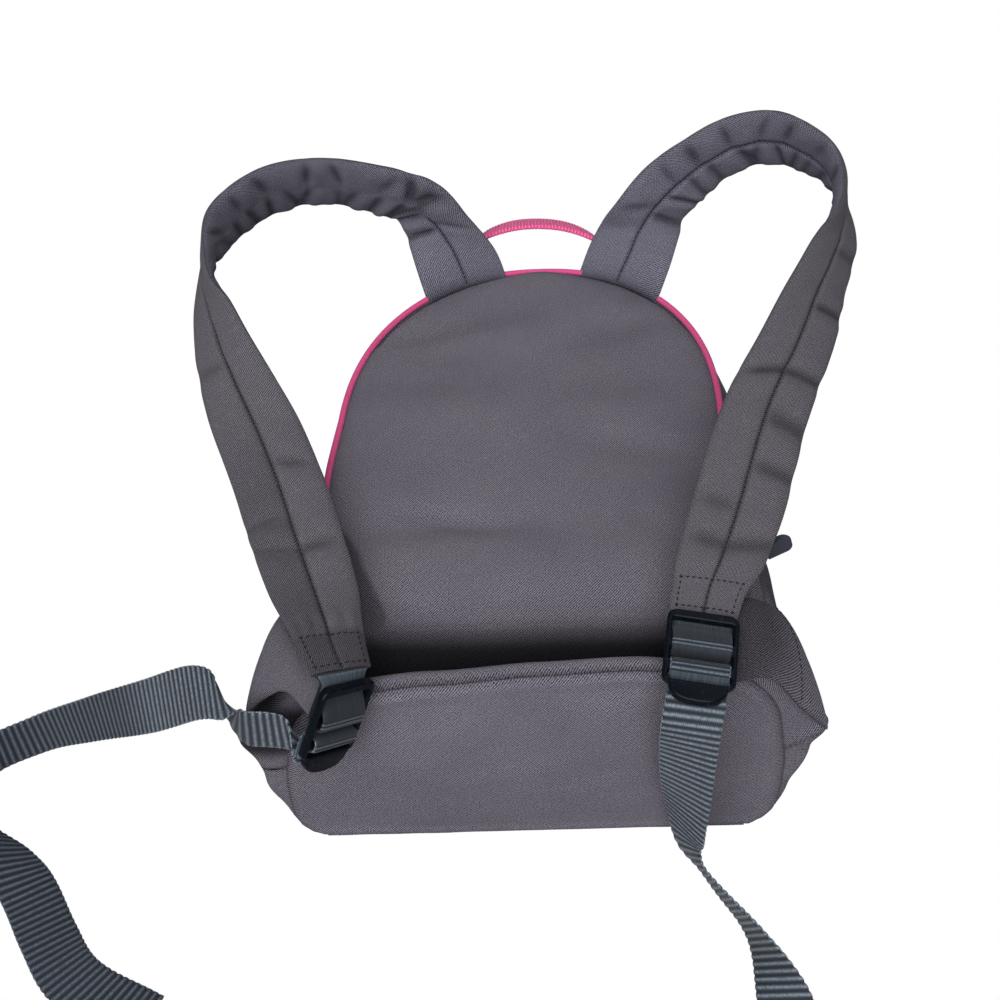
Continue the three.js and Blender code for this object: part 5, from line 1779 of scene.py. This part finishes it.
@dataclass
class LadderBuckle:
    """Ladder buckle with rounded bars and a round tongue."""

    shop: Workshop
    side: Side
    half_width: float = 13.0
    rail: float = 2.0
    thickness: float = 3.4
    length: float = 36.0
    shoulder: float = 26.5
    corner: float = 3.6
    low_corner: float = 2.4
    slot_corner: float = 0.9
    bow: float = 0.5
    tongue_half: float = 10.5
    bevel: float = 0.95
    slots: tuple[Pair, ...] = ((3.5, 12.5), (15.5, 21.5), (24.5, 28.0))
    across: Array = field(init=False)
    down: Array = field(init=False)
    front: Array = field(init=False)
    origin: Array = field(init=False)

    def __post_init__(self) -> None:
        """Works out the buckle's own axes."""
        place = BUCKLE_PLACES[self.side]
        self.down = unit(np.array(place.down))
        across = np.array(place.right)
        self.across = unit(across - self.down * np.dot(across, self.down))
        self.front = np.cross(self.down, self.across)
        self.origin = np.array(place.middle) - self.front * self.thickness / 2

    def at(self, across: Any, down: Any, up: Any) -> Array:
        """Points given across, down and up from the buckle's back face."""
        across, down, up = (np.asarray(value, float)[..., None] for value in (across, down, up))
        return self.origin + self.across * across + self.down * down + self.front * up

    def outline(self) -> list[Pair]:
        """Outer edge of the buckle, seen from the front."""
        half, corner, low_corner, shoulder = self.half_width, self.corner, self.low_corner, self.shoulder
        turn = np.linspace(0.0, math.pi / 2, 7)
        right = [(half - corner + corner * math.sin(a), -corner + corner * math.cos(a)) for a in turn]
        inner = half - low_corner
        low = [(inner + low_corner * math.cos(a), -shoulder - low_corner * math.sin(a)) for a in turn]
        tongue_top = shoulder + 2.6
        reach = self.length - tongue_top
        tongue = [
            (self.tongue_half * math.cos(a) ** 0.8, -tongue_top - reach * math.sin(a) ** 0.9)
            for a in np.linspace(0.0, math.pi / 2, 12)
        ]
        one_side = [*right, *low, *tongue]
        return [*one_side, *[(-x, y) for x, y in reversed(one_side[:-1])]]

    def plate(self) -> tuple[Array, Faces]:
        """Flat plate with rounded edges and slots.

        Returns:
            Its points, with the front face up, and its faces.
        """
        curve = bpy.data.curves.new("buckle_plate", "CURVE")
        curve.dimensions = "2D"
        curve.fill_mode = "BOTH"
        inner = self.half_width - self.rail
        slots = [self.rounded(-inner, inner, -start, -end, self.slot_corner) for start, end in self.slots]
        for loop in [self.outline(), *slots]:
            spline = curve.splines.new("POLY")
            spline.points.add(len(loop) - 1)
            for point, (x, y) in zip(spline.points, loop):
                point.co = (x, y, 0.0, 1.0)
            spline.use_cyclic_u = True
        curve.extrude = self.thickness / 2 - self.bevel
        curve.bevel_depth = self.bevel
        curve.bevel_resolution = 3
        curve.offset = -self.bevel
        holder = linked("buckle_plate", curve)
        bpy.context.view_layer.update()
        shown = holder.evaluated_get(bpy.context.evaluated_depsgraph_get())
        mesh = bpy.data.meshes.new_from_object(shown)
        bpy.data.objects.remove(holder)
        points = np.zeros(len(mesh.vertices) * 3, np.float32)
        mesh.vertices.foreach_get("co", points)
        faces = [tuple(face.vertices) for face in mesh.polygons]
        bpy.data.meshes.remove(mesh)
        return points.reshape(-1, 3).astype(float), faces

    def build(self) -> Piece:
        """Builds the buckle from its plate, with a bowed front."""
        flat, faces = self.plate()
        bow = self.bow * np.cos(flat[:, 0] / self.half_width * math.pi / 2)
        up = self.thickness / 2 + flat[:, 2] + bow * (flat[:, 2] > 0)
        merged, faces = self.merged(self.at(flat[:, 0], -flat[:, 1], up), faces)
        shell = Shell(merged, facing(merged, faces), np.zeros((len(merged), 2)))
        piece = shell.to_object(f"buckle_{self.side.label}_moulded", math.radians(38))
        return self.shop.dresser.dress(piece, Finish.PLASTIC, f"buckle_{self.side.label}")

    @staticmethod
    def rounded(
        left: float, right: float, top: float, bottom: float, radius: float
    ) -> list[Pair]:
        """Corner-rounded rectangle."""
        middles = [(right - radius, top - radius, 0), (left + radius, top - radius, 1)]
        middles += [(left + radius, bottom + radius, 2), (right - radius, bottom + radius, 3)]
        loop = []
        for x, y, quarter in middles:
            for turn in np.linspace(quarter, quarter + 1, 4) * math.pi / 2:
                loop.append((x + radius * math.cos(turn), y + radius * math.sin(turn)))
        return loop

    @staticmethod
    def merged(points: Array, faces: Faces) -> tuple[Array, Faces]:
        """Points and faces with doubled points joined."""
        _, first, back = np.unique(np.round(points, 3), axis=0, return_index=True, return_inverse=True)
        back = np.ravel(back)
        joined = []
        for face in faces:
            corners = [int(back[corner]) for corner in face]
            corners = [c for k, c in enumerate(corners) if c != corners[k - 1]]
            if len(set(corners)) == len(corners) and len(corners) > 2:
                joined.append(tuple(corners))
        return points[first], joined


RIBBON_PLACES = 11


def ribbon(centre: Array, across: Array, width: float, thickness: float, along: Array) -> Shell:
    """Flat webbing with rounded edges along a run.

    Args:
        centre: Middle points of the run.
        across: Directions across the webbing.
        width: Width of the webbing.
        thickness: Thickness of the webbing.
        along: Distances along the run.

    Returns:
        The closed shell, with its distance along the run as a mark.
    """
    heading = unit(np.gradient(centre, axis=0))
    face = unit(np.cross(across, heading))
    s = np.sin(np.linspace(-math.pi / 2, math.pi / 2, RIBBON_PLACES))
    rounded = np.sqrt(np.clip(1.0 - np.clip((np.abs(s) - 0.9) / 0.1, 0.0, 1.0) ** 2, 0.06, 1.0))
    flat = centre[:, None] + across[:, None] * (s[None, :, None] * width / 2)
    lift = face[:, None] * (rounded * thickness / 2)[None, :, None]
    rings = np.concatenate([flat + lift, (flat - lift)[:, ::-1]], axis=1)
    place = np.concatenate([s, s[::-1]])[None] * width / 2
    cloth = grid_of(place, along[:, None])
    return loft(rings, cloth, {"run": cloth[..., 1]})


@dataclass(frozen=True)
class TailRow:
    """One place on a webbing tail: its middle and the direction across it."""

    centre: Triple
    across: Triple


TAIL_ROWS: dict[Side, tuple[TailRow, ...]] = {
    Side.RIGHT: (
        TailRow((51.6, -17.6, 89.5), (0.98, -0.2, 0)), TailRow((51.4, -18, 68.2), (0.9, -0.43, 0)),
        TailRow((52, -18, 49.3), (0.8, -0.6, 0)), TailRow((53.6, -17.5, 28.6), (0.57, -0.82, 0.05)),
        TailRow((56.3, -18, 13.2), (0.25, -0.62, 0.74)), TailRow((60.4, -26.3, 11.7), (-0.06, -0.54, 0.84)),
        TailRow((66.7, -36.7, 10.8), (0.01, -0.52, 0.85)), TailRow((73.2, -46.8, 10.6), (0.08, -0.5, 0.86)),
        TailRow((77, -54.4, 10.4), (0.19, -0.47, 0.84)), TailRow((80, -62, 9.4), (0.41, -0.41, 0.76)),
        TailRow((82, -69, 8), (0.61, -0.33, 0.6)), TailRow((83.4, -76, 6.3), (0.8, -0.24, 0.44)),
        TailRow((84.5, -90, 2.2), (1, 0, 0.05)), TailRow((84.5, -104, 1.5), (1, 0, 0)),
    ),
    Side.LEFT: (
        TailRow((-84, -12.6, 70.8), (0.4, 0.5, -0.77)), TailRow((-90, -8.6, 77), (0, 0.1, -0.99)),
        TailRow((-98.5, -6.3, 77.1), (-0.06, 0.06, -0.99)),
        TailRow((-107.7, -4.0, 75.9), (-0.1, 0.08, -0.99)),
        TailRow((-112.3, 1.8, 78.7), (-0.42, 0.58, -0.68)), TailRow((-119, 8.5, 79.5), (-0.22, 0.95, 0.2)),
        TailRow((-127, 13.5, 75.5), (-0.2, 0.87, 0.42)), TailRow((-150, 23.9, 56.2), (-0.14, 0.6, 0.78)),
        TailRow((-182, 38, 31.5), (-0.12, 0.25, 0.96)), TailRow((-208, 43.6, 16.1), (-0.08, 0.05, 0.99)),
        TailRow((-229, 34, 11.5), (0, 0.05, 1)), TailRow((-229, 11, 10.9), (-0.42, -0.14, 0.88)),
        TailRow((-212, -6, 6.3), (-0.84, -0.3, 0.44)), TailRow((-199, -22, 2.1), (-0.86, -0.5, 0.03)),
        TailRow((-186.5, -42, 1.7), (-0.86, -0.5, 0)), TailRow((-173, -60, 2.9), (-0.72, -0.68, -0.1)),
        TailRow((-144, -76, 1.8), (-0.45, -0.88, -0.02)),
    ),
}
LOOP_RUN = (
    (0.6, -1.05), (3, -1.05), (5.2, -0.3), (8.6, 2.4), (11.2, 4.1), (12.4, 4.55), (14, 4.6),
    (15.8, 4.5), (16.6, 3.5), (16.75, 1.6), (16.5, -1.3), (15.3, -2.55), (13, -2.8), (0.6, -2.8),
)
ADJUSTER_RUN = (
    (32, -2.7), (22.8, -2.7), (21.1, -2.1), (20.4, -0.7), (20.35, 1.8), (20.5, 3.6), (21.3, 4.55),
    (23, 4.6), (24.7, 4.55), (25.5, 3.6), (25.65, 1.7), (25.8, 0.2), (26.8, -0.85), (28.6, -1.05),
    (34, -1.1),
)


@dataclass
class Webbing:
    """Grey webbing of one side: the loop at the strap's end and the adjuster with its free tail."""

    shop: Workshop
    buckle: LadderBuckle
    strap: ShoulderStrap
    width: float = 21.0
    thickness: float = 1.15
    rib_pitch: float = 2.9
    rib_depth: float = 0.42
    stripes: tuple[Pair, ...] = ((12.4, 15.4), (21.8, 25.0))
    stripe_up: float = 2.4
    step: float = 0.3
    spare_ribs: float = 40.0
    plain_points: int = 70
    # Painted shade along the far run of the left adjuster: the run where each step starts and its share.
    reverse_from: tuple[Pair, ...] = ((95.0, 0.8), (185.0, 0.2))
    reverse_ease: float = 30.0

    def adjuster(self) -> Piece:
        """Webbing through the lower bars of the buckle and on to its free end."""
        run = np.array(ADJUSTER_RUN)
        inside = through(self.buckle.at(np.zeros(len(run)), run[:, 0], run[:, 1]), 8)
        rows = TAIL_ROWS[self.buckle.side]
        outside = through([inside[-1], *[row.centre for row in rows]], 14)[1:]
        turned = through([self.buckle.across, *[row.across for row in rows]], 14)[1:]
        centre = np.vstack([inside, outside])
        across = np.vstack([np.broadcast_to(self.buckle.across, inside.shape), turned])
        centre, (across,), _ = even_run(centre, [across], self.step)
        start = self.plain_points
        centre[start:] = soften(centre[start:], 9)
        across = unit(np.vstack([across[:start], soften(across[start:], 8)]))
        shell = ribbon(centre, across, self.width, self.thickness, self.weave(centre))
        # Painted shade, carried by the inner mark.
        shell.marks["inner"] = self.reverse(shell.marks["run"] - self.spare_ribs * self.rib_pitch)
        label = self.buckle.side.label
        piece = self.piece(f"adjuster_{label}", shell)
        paths = self.edge_paths(centre, across)
        self.shop.row(f"adjuster_{label}_edges", paths, EDGE_THREAD, Finish.WEBBING)
        return piece

    def piece(self, node: str, shell: Shell) -> Piece:
        """Ribbed piece for a node of the frame."""
        sizes = (self.rib_pitch, self.rib_depth)
        return self.shop.webbing(f"{node}_webbing", shell, Finish.WEBBING, *sizes, node)

    def reverse(self, run: Array) -> Array:
        """Painted shade of the adjuster: in the buckle and, on the left, at its fold and along the far part
        of its run.

        Args:
            run: Distances along the webbing, as its ribs count them.

        Returns:
            Inner marks, from 0 up.
        """
        dark = 0.7 * fall(run, 8.0, 10.0)
        if self.buckle.side is Side.LEFT:
            dark = dark + 0.7 * mound(run, 46.0, 6.0)
            for start, share in self.reverse_from:
                dark = dark + share * ease(run, start, start + self.reverse_ease)
        return dark

    def weave(self, centre: Array) -> Array:
        """Distances along the webbing as its ribs count them: nearly still where a bar draws it tight.

        Args:
            centre: Middle points of the run.

        Returns:
            A distance for each point.
        """
        away = centre - self.buckle.origin
        down, up = away @ self.buckle.down, away @ self.buckle.front
        tight = (down > -1.0) & (down < 30.0) & (np.abs(up - 1.0) < 6.0)
        rate = np.where(tight, 0.03, 1.0)
        for low, high in self.stripes:
            shown = tight & (up > self.stripe_up) & (down > low) & (down < high)
            rate = np.where(shown, 2.0 * self.rib_pitch / (high - low), rate)
        counted = np.cumsum(np.diff(run_length(centre), prepend=0.0) * rate)
        first = int(np.argmax(tight & (up > self.stripe_up)))
        return counted - counted[first] + (0.28 + self.spare_ribs) * self.rib_pitch

    def edge_paths(self, centre: Array, across: Array) -> list[Array]:
        """Lines just inside both edges of the webbing, over its upper face."""
        reach = self.width / 2 - 0.15
        return [centre[2:-2:3] + across[2:-2:3] * sign * reach for sign in (-1, 1)]

    def loop(self) -> Piece:
        """Webbing from the strap's end round the first bar of the buckle and back."""
        strap, buckle = self.strap, self.buckle
        run = np.array(LOOP_RUN)
        inside = buckle.at(np.zeros(len(run)), run[:, 0], run[:, 1])
        end = (strap.upper[-1].mean(axis=0) + strap.lower[-1].mean(axis=0)) / 2
        middle = strap.places // 2
        out = unit(strap.upper[-2, middle] - strap.lower[-2, middle])
        out = out * np.sign(np.dot(out, buckle.front))
        edge = unit(strap.upper[-1, -1] - strap.upper[-1, 0])
        edge = edge * np.sign(np.dot(edge, buckle.across))
        sewn = [end + out * 0.8, end - out * 0.8]
        centre = through([sewn[0], *inside, sewn[1]], 8)
        across = through([edge, *[buckle.across] * len(inside), edge], 8)
        centre, (across,), _ = even_run(centre, [across], self.step)
        shell = ribbon(centre, unit(across), self.width, self.thickness, self.weave(centre))
        # Painted shade: the whole loop is darkened, more on the left, where it lies in shade between the
        # strap's end and the buckle.
        dark = 0.9 if buckle.side is Side.LEFT else 0.7
        shell.marks["inner"] = np.full_like(shell.marks["run"], dark)
        return self.piece(f"strap_loop_{buckle.side.label}", shell)

    def build(self) -> None:
        """Builds both pieces of webbing."""
        self.loop()
        self.adjuster()


WING_ROWS: dict[Side, tuple[tuple[Triple, ...], ...]] = {
    Side.RIGHT: (
        ((95, 33, 82), (100.5, 26, 75), (105.5, 17, 64.5), (110, 8.2, 50.5)),
        ((89, 33, 93), (93, 24.5, 89.5), (95.8, 13.5, 82.5), (96.4, 1.8, 71.3)),
        ((77, 33, 98.5), (81, 23, 97), (82.5, 11, 94.8), (81.4, 0.6, 89.9)),
    ),
    Side.LEFT: (
        ((-97.5, 41, 86), (-102.5, 31, 83), (-106.7, 20.8, 76.5), (-110.6, 11.0, 65.4)),
        ((-94, 36, 95), (-97.5, 26, 94), (-100, 16, 89), (-102, 7, 78)),
        ((-87, 24, 98), (-89, 14, 98.5), (-90.5, 6, 96), (-91, 0, 89.5)),
    ),
}
WING_TIPS: dict[Side, tuple[float, tuple[float, ...]]] = {
    Side.RIGHT: (3.0, (5, 12, 19, 27)),
    Side.LEFT: (-3.0, (6, 11, 16, 21)),
}
# Painted shade of each wing, deepest on the right wing, which faces away from the light.
WING_SHADE: dict[Side, float] = {Side.RIGHT: 0.72, Side.LEFT: 0.2}


@dataclass
class AnchorWing:
    """Folded cloth wing that ties a buckle to the bag's side seam."""

    shop: Workshop
    buckle: LadderBuckle
    thickness: float = 1.6
    tip_up: float = -3.9
    fine: int = 12
    stitch_place: int = 13

    def build(self) -> Piece:
        """Builds the wing with its edge fold and, on the right, its stitches."""
        side = self.buckle.side
        across, down = WING_TIPS[side]
        tip = self.buckle.at(np.full(4, across), np.array(down), np.full(4, self.tip_up))
        rows = [*[np.array(row) for row in WING_ROWS[side]], tip]
        lines = [through(row, self.fine) for row in rows]
        grid = np.stack([through(column, self.fine) for column in np.stack(lines, axis=1)], axis=0)
        along = np.linspace(0.0, 1.0, grid.shape[0])[:, None]
        out = np.linspace(0.0, 1.0, grid.shape[1])[None]
        normal = grid_normals(grid)
        normal = normal * np.sign(np.sum(normal * (grid - MIDDLE)))
        inner = np.sin(math.pi * along) * np.sin(math.pi * np.clip(out * 1.05, 0, 1))
        puff = 0.9 * inner + 0.4 * inner * ripple(out * 40.0, along * 40.0, 22.0, 61)
        rolled = -0.9 * np.exp(-along / 0.03) - 0.9 * np.exp(-(1.0 - along) / 0.03)
        grid = grid + normal * (puff + rolled)[..., None]
        # Darker along the rolled edges; painted shade across the wing, deepening towards the buckle.
        turned_edge = 0.5 * np.exp(-np.minimum(along, 1.0 - along) / 0.02)
        wing_shade = WING_SHADE[side] * ease(out + 0.3 * (1.0 - along), 0.2, 0.85)
        marks = {"seam": deepest(turned_edge, wing_shade)}
        shell = wall(grid, self.thickness, MIDDLE, grid_of(out * 44.0, along * 42.0), marks)
        label = side.label
        piece = self.shop.piece(f"anchor_wing_{label}_cloth", shell, Finish.PANEL, f"anchor_wing_{label}")
        if side is Side.RIGHT:
            path = (grid + normal * 0.12)[2:-2, self.stitch_place]
            self.shop.row(f"anchor_wing_{label}_stitches", [path], STITCH)
        return piece


@dataclass
class Trim:
    """Pink piping and handle, and the tape and teeth of the zip."""

    shop: Workshop
    form: BagForm
    straps: dict[Side, ShoulderStrap]
    piping_radius: float = 1.4
    piping_from: float = 70.0
    handle_width: float = 16.0
    handle_thickness: float = 2.2
    zip_from: float = 75.0
    zip_half: float = 0.047
    tape: float = 1.2
    piping_sides: int = 14
    piping_step: float = 0.9
    handle_ribs: Pair = (1.6, 0.34)
    handle_ends: Pair = (249.3, 247.4)
    handle_rows: tuple[TailRow, ...] = (
        TailRow((-27, 267, 100), (0.6, 0.78, -0.17)), TailRow((-20, 276.5, 108), (0.2, 0.93, -0.3)),
        TailRow((-6, 279.5, 113), (0.05, 0.955, -0.29)), TailRow((10, 279.5, 114.5), (0, 0.955, -0.297)),
        TailRow((26, 278, 112.5), (-0.05, 0.955, -0.29)), TailRow((40, 274, 106.5), (-0.2, 0.93, -0.3)),
        TailRow((47.5, 264.5, 99), (-0.6, 0.78, -0.17)),
    )

    def piping(self) -> Piece:
        """Piping along the back seam, hidden where a strap is sewn into it."""
        side, y = self.form.rim(8.0, 1.6, 1.0)
        seam = self.form.seam(side, y) + self.form.outward(side, y) * 0.3
        seam[:, 2] += -0.1 - 0.3 * ease(y, 185.0, 240.0)
        hidden = np.zeros(len(seam), bool)
        for strap in self.straps.values():
            ends = [(strap.upper[0, place] + strap.lower[0, place]) / 2 for place in (0, -1)]
            inner, outer = (float(end[0]) * strap.side.value for end in ends)
            place = seam[:, 0] * strap.side.value
            hidden |= (place > inner + 3.0) & (place < outer + 0.5) & (seam[:, 1] > 200.0)
        hidden |= (side > 0) & (y < self.piping_from)
        shells = []
        start = 0
        for place in range(1, len(seam) + 1):
            if place == len(seam) or hidden[place] != hidden[start]:
                if not hidden[start] and place - start > 4:
                    path = even_run(seam[start:place], [], self.piping_step)[0]
                    shells.append(tube(path, self.piping_radius, self.piping_sides))
                start = place
        shell = shells[0]
        for other in shells[1:]:
            shell = shell.joined(other)
        return self.shop.piece("back_piping_cord", shell, Finish.PINK_CORD, "back_piping")

    def handle(self) -> Piece:
        """Grab handle of ribbed webbing, sewn on the gusset behind the straps."""
        rows: list[TailRow] = []
        for side, y in ((-1.0, self.handle_ends[0]), (1.0, self.handle_ends[1])):
            sewn = []
            for share in (0.22, 0.08):
                at, up = np.array([side]), np.array([y])
                out = self.form.outward(at, up)[0]
                point = self.form.gusset_point(at, up, np.array([share]))[0] + out * 2.3
                turned = np.array([out[1], -out[0], 0.0]) * -side
                sewn.append(TailRow(tuple(point), tuple(turned)))
            rows = [*sewn, *self.handle_rows] if side < 0 else [*rows, *reversed(sewn)]
        centre = through([row.centre for row in rows], 16)
        across = through([row.across for row in rows], 16)
        centre, (across,), along = even_run(centre, [across], 0.28)
        centre = soften(centre, 12)
        across = unit(soften(across, 12))
        shell = ribbon(centre, across, self.handle_width, self.handle_thickness, along)
        ribs = self.handle_ribs
        return self.shop.webbing("grab_handle_webbing", shell, Finish.PINK_RIB, *ribs, "grab_handle")

    def zip(self) -> None:
        """Zip tape and its teeth, round the middle of the gusset."""
        side, y = self.form.rim(self.zip_from, 1.6, 1.3)
        shares = np.linspace(0.5 - self.zip_half, 0.5 + self.zip_half, 9)
        grid = self.form.gusset_point(side[:, None], y[:, None], shares[None])
        out = self.form.outward(side, y)[:, None]
        grid = grid + out * 0.45
        along = run_length(grid[:, 4])
        cloth = grid_of(shares[None] * self.form.gusset_depth, along[:, None])
        shell = wall(grid, self.tape, -np.broadcast_to(out, grid.shape), cloth)
        self.shop.piece("zip_chain_tape", shell, Finish.ZIP, "zip_chain")
        path = grid[2:-2, 4] + out[2:-2, 0] * 0.35
        self.shop.row("zip_chain_teeth", [path], ZIP_TOOTH, Finish.TEETH, RowShape.TOOTH)

    def build(self) -> None:
        """Builds all the trim."""
        self.piping()
        self.handle()
        self.zip()


@dataclass
class ZipSlider:
    """Slider and pull on the right side of the zip: the CAD pieces with their finishes."""

    shop: Workshop
    nodes: dict[str, Piece]

    def build(self) -> None:
        """Dresses the slider and the pull."""
        for node, finish in (("zip_slider", Finish.SLIDER), ("zip_pull", Finish.PULL)):
            piece = self.nodes[node]
            piece.data.materials.clear()
            piece.data.materials.append(self.shop.dresser.material(finish))
            bevel = piece.modifiers.new("soft_edges", "BEVEL")
            bevel.width = 0.0006
            bevel.segments = 3
            LOG.info("%s: dressed as %s", node, finish.name.lower())


@dataclass
class Studio:
    """Pale floor, soft lights and the camera at the photo's angle."""

    shop: Workshop
    camera_at: Triple = (-12.898, -410.730, 457.864)
    right: Triple = (0.99966, -0.01735, -0.01961)
    up: Triple = (0.02618, 0.66239, 0.74870)
    focal: float = 1.35
    sensor: float = 36.0
    floor_half: float = 6.0
    floor_gap: float = 0.0002
    aim: Triple = (0.0, 0.02, 0.05)

    def build(self) -> None:
        """Builds the floor, the lights and the camera."""
        self.floor()
        self.lights()
        self.camera()

    def floor(self) -> None:
        """Flat floor under the bag."""
        half, level = self.floor_half, -self.floor_gap
        mesh = bpy.data.meshes.new("pale_floor")
        corners = [(x * half, y * half, level) for x, y in ((-1, -1), (1, -1), (1, 1), (-1, 1))]
        mesh.from_pydata(corners, [], [(0, 1, 2, 3)])
        piece = linked("pale_floor", mesh)
        mesh.materials.append(FloorFinish().material())

    def area(
        self, name: str, at: Triple, size: float, power: float, colour: Triple
    ) -> None:
        """Soft square light that points at the bag.

        Args:
            name: Name of the light.
            at: Place in metres.
            size: Side of the square.
            power: Power in watts.
            colour: Triple of the light.
        """
        data = bpy.data.lights.new(name, "AREA")
        data.size = size
        data.energy = power
        data.color = colour
        lamp = linked(name, data)
        lamp.location = at
        aim = Vector(self.aim) - Vector(at)
        lamp.rotation_euler = aim.to_track_quat("-Z", "Y").to_euler()

    def lights(self) -> None:
        """Large soft lights and a bright even surround."""
        self.area("front_softbox", (-0.32, -1.6, 1.6), 2.3, 84.0, (1.0, 0.985, 0.985))
        self.area("top_softbox", (0.7, 0.7, 1.8), 1.6, 6.0, (0.94, 0.97, 1.0))
        world = bpy.data.worlds.new("even_surround")
        world.use_nodes = True
        back = world.node_tree.nodes["Background"]
        back.inputs["Color"].default_value = (0.97, 0.98, 1.0, 1.0)
        back.inputs["Strength"].default_value = 0.2
        bpy.context.scene.world = world
        bpy.context.scene.view_settings.view_transform = "Standard"

    def camera(self) -> None:
        """Camera at the photo's angle, with depth of field off."""
        data = bpy.data.cameras.new("photo_camera")
        data.sensor_fit = "HORIZONTAL"
        data.sensor_width = self.sensor
        data.lens = self.sensor * self.focal
        data.clip_start = 0.01
        camera = linked("photo_camera", data)
        right, up = Vector(self.right), Vector(self.up)
        back = right.cross(up)
        turn = Matrix((right, up, back)).transposed().to_4x4()
        camera.matrix_world = Matrix.Translation(Vector(self.camera_at) * MM) @ turn
        bpy.context.scene.camera = camera


def main() -> None:
    """Builds the backpack round its frame."""
    logging.basicConfig(level=logging.INFO, format="%(message)s")
    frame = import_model()
    shop = Workshop()
    form = BagForm()
    Studio(shop).build()
    Panels(shop, form).build()
    straps = {side: ShoulderStrap(shop, form, side) for side in Side}
    for side, strap in straps.items():
        strap.build()
        buckle = LadderBuckle(shop, side)
        buckle.build()
        Webbing(shop, buckle, strap).build()
        AnchorWing(shop, buckle).build()
    Trim(shop, form, straps).build()
    ZipSlider(shop, frame["nodes"]).build()


if __name__ == "__main__":
    main()
